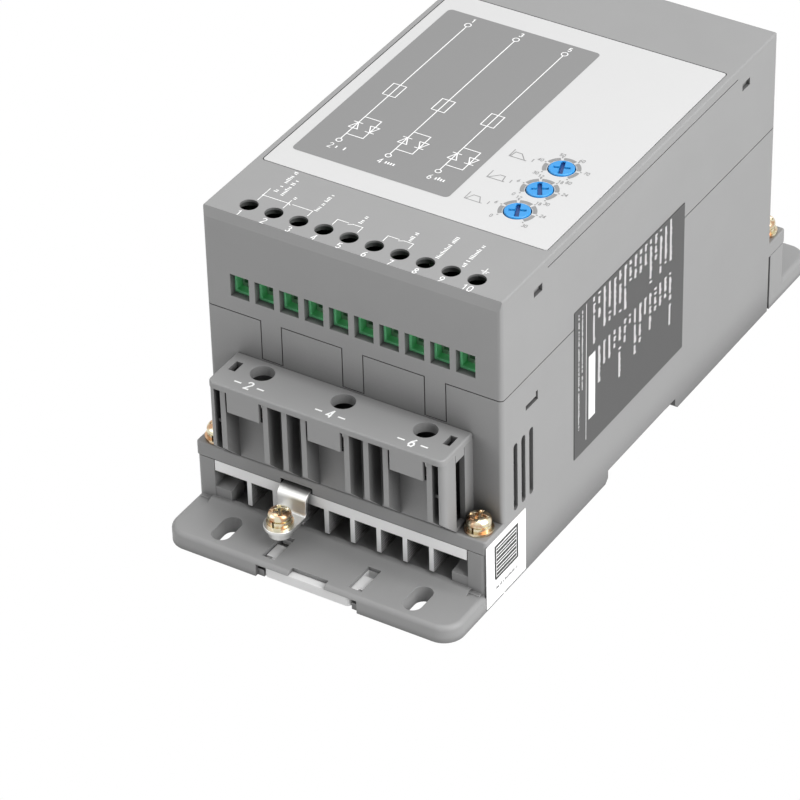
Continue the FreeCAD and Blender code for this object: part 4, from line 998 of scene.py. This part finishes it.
class SOFTSTARTER_OT_trimmers(bpy.types.Operator):
    """Make the three trimmer rotors with their cross slots"""

    bl_idname = "soft_starter.trimmers"
    bl_label = "Trimmers"

    def execute(self, context):
        turns = (24, 30, 20)
        for index, turn in enumerate(turns):
            name = "trimmer_knob_%d" % (index + 1)
            lowest, highest = low(name), high(name)
            middle = (lowest + highest) / 2
            radius = (highest[0] - lowest[0]) / 2
            points, faces, deep = knob_surface(radius, lowest[2], highest[2], wide=(1.15, 2.95),
                                               narrow=(0.75, 2.3), depth=0.9)
            points = turned(points, turn) + (middle[0], middle[1], 0)
            # the faces deep in the slots take the dark case colour as painted shade
            item = mesh_object("trimmer_rotor_%d" % (index + 1), points, faces,
                               ["trimmer_blue", "trimmer_case"], deep, smooth=True)
            close_poles(item)
            edge = item.modifiers.new("crisp_edges", "EDGE_SPLIT")
            edge.split_angle = math.radians(35)
            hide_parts(name)
            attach(item, "trimmer_%d" % (index + 1))
        return {"FINISHED"}


class SOFTSTARTER_OT_front_prints(bpy.types.Operator):
    """Print the panel, the circuit lines and the dial scales on the front plate"""

    bl_idname = "soft_starter.front_prints"
    bl_label = "Front plate prints"

    def execute(self, context):
        sizes = context.scene.soft_starter_sizes
        edges = panel_field(sizes)
        circuit_lines(sizes, *edges)
        dial_prints(sizes)
        dial_graphs(sizes)
        return {"FINISHED"}


class SOFTSTARTER_OT_terminal_prints(bpy.types.Operator):
    """Print the numbers of the control and power terminals"""

    bl_idname = "soft_starter.terminal_prints"
    bl_label = "Terminal numbers"

    def execute(self, context):
        sizes = context.scene.soft_starter_sizes
        terminal_prints(sizes)
        cover_marks(sizes)
        return {"FINISHED"}


class SOFTSTARTER_OT_side_prints(bpy.types.Operator):
    """Print the rating label and the side sticker"""

    bl_idname = "soft_starter.side_prints"
    bl_label = "Side prints"

    def execute(self, context):
        sizes = context.scene.soft_starter_sizes
        label_print(sizes)
        sticker_print(sizes)
        return {"FINISHED"}


class SOFTSTARTER_OT_stage(bpy.types.Operator):
    """Set the floor, surround, lamps and camera"""

    bl_idname = "soft_starter.stage"
    bl_label = "Stage"

    def execute(self, context):
        scene = context.scene
        stage = scene.soft_starter_stage
        scene.view_settings.view_transform = "Standard"
        build_world(stage.ambient)
        build_floor()
        middle = (0, 0, 45)
        area_lamp("key_lamp", stage.key_power, 0.9, (900, -150, 700), middle)
        area_lamp("top_lamp", stage.top_power, 1.2, (-100, 100, 1100), middle)
        area_lamp("front_lamp", stage.front_power, 0.8, (-750, -850, 420), middle)
        build_camera(stage)
        return {"FINISHED"}


OPERATORS = (
    SOFTSTARTER_OT_finishes,
    SOFTSTARTER_OT_mouldings,
    SOFTSTARTER_OT_screws,
    SOFTSTARTER_OT_trimmers,
    SOFTSTARTER_OT_front_prints,
    SOFTSTARTER_OT_terminal_prints,
    SOFTSTARTER_OT_side_prints,
    SOFTSTARTER_OT_stage,
)


class SOFTSTARTER_PT_panel(bpy.types.Panel):
    """Lists the settings and the steps"""

    bl_idname = "SOFTSTARTER_PT_panel"
    bl_label = "Soft Starter"
    bl_space_type = "VIEW_3D"
    bl_region_type = "UI"
    bl_category = "Soft Starter"

    def draw(self, context):
        for group in (context.scene.soft_starter_colours, context.scene.soft_starter_sizes,
                      context.scene.soft_starter_stage):
            box = self.layout.box()
            for name in group.bl_rna.properties.keys():
                if name not in ("rna_type", "name"):
                    box.prop(group, name)
        for operator in OPERATORS:
            self.layout.operator(operator.bl_idname)


CLASSES = (SoftStarterColours, SoftStarterSizes, SoftStarterStage) + OPERATORS + (SOFTSTARTER_PT_panel,)


def register():
    """Registers the classes and hangs the settings on the scene."""
    for item in CLASSES:
        bpy.utils.register_class(item)
    bpy.types.Scene.soft_starter_colours = bpy.props.PointerProperty(type=SoftStarterColours)
    bpy.types.Scene.soft_starter_sizes = bpy.props.PointerProperty(type=SoftStarterSizes)
    bpy.types.Scene.soft_starter_stage = bpy.props.PointerProperty(type=SoftStarterStage)


def unregister():
    """Takes the settings and the classes away."""
    del bpy.types.Scene.soft_starter_stage
    del bpy.types.Scene.soft_starter_sizes
    del bpy.types.Scene.soft_starter_colours
    for item in reversed(CLASSES):
        bpy.utils.unregister_class(item)


def main():
    """Builds everything in order."""
    register()
    bpy.ops.soft_starter.finishes()
    bpy.ops.soft_starter.mouldings()
    bpy.ops.soft_starter.screws()
    bpy.ops.soft_starter.trimmers()
    bpy.ops.soft_starter.front_prints()
    bpy.ops.soft_starter.terminal_prints()
    bpy.ops.soft_starter.side_prints()
    bpy.ops.soft_starter.stage()


if __name__ == "__main__":
    main()
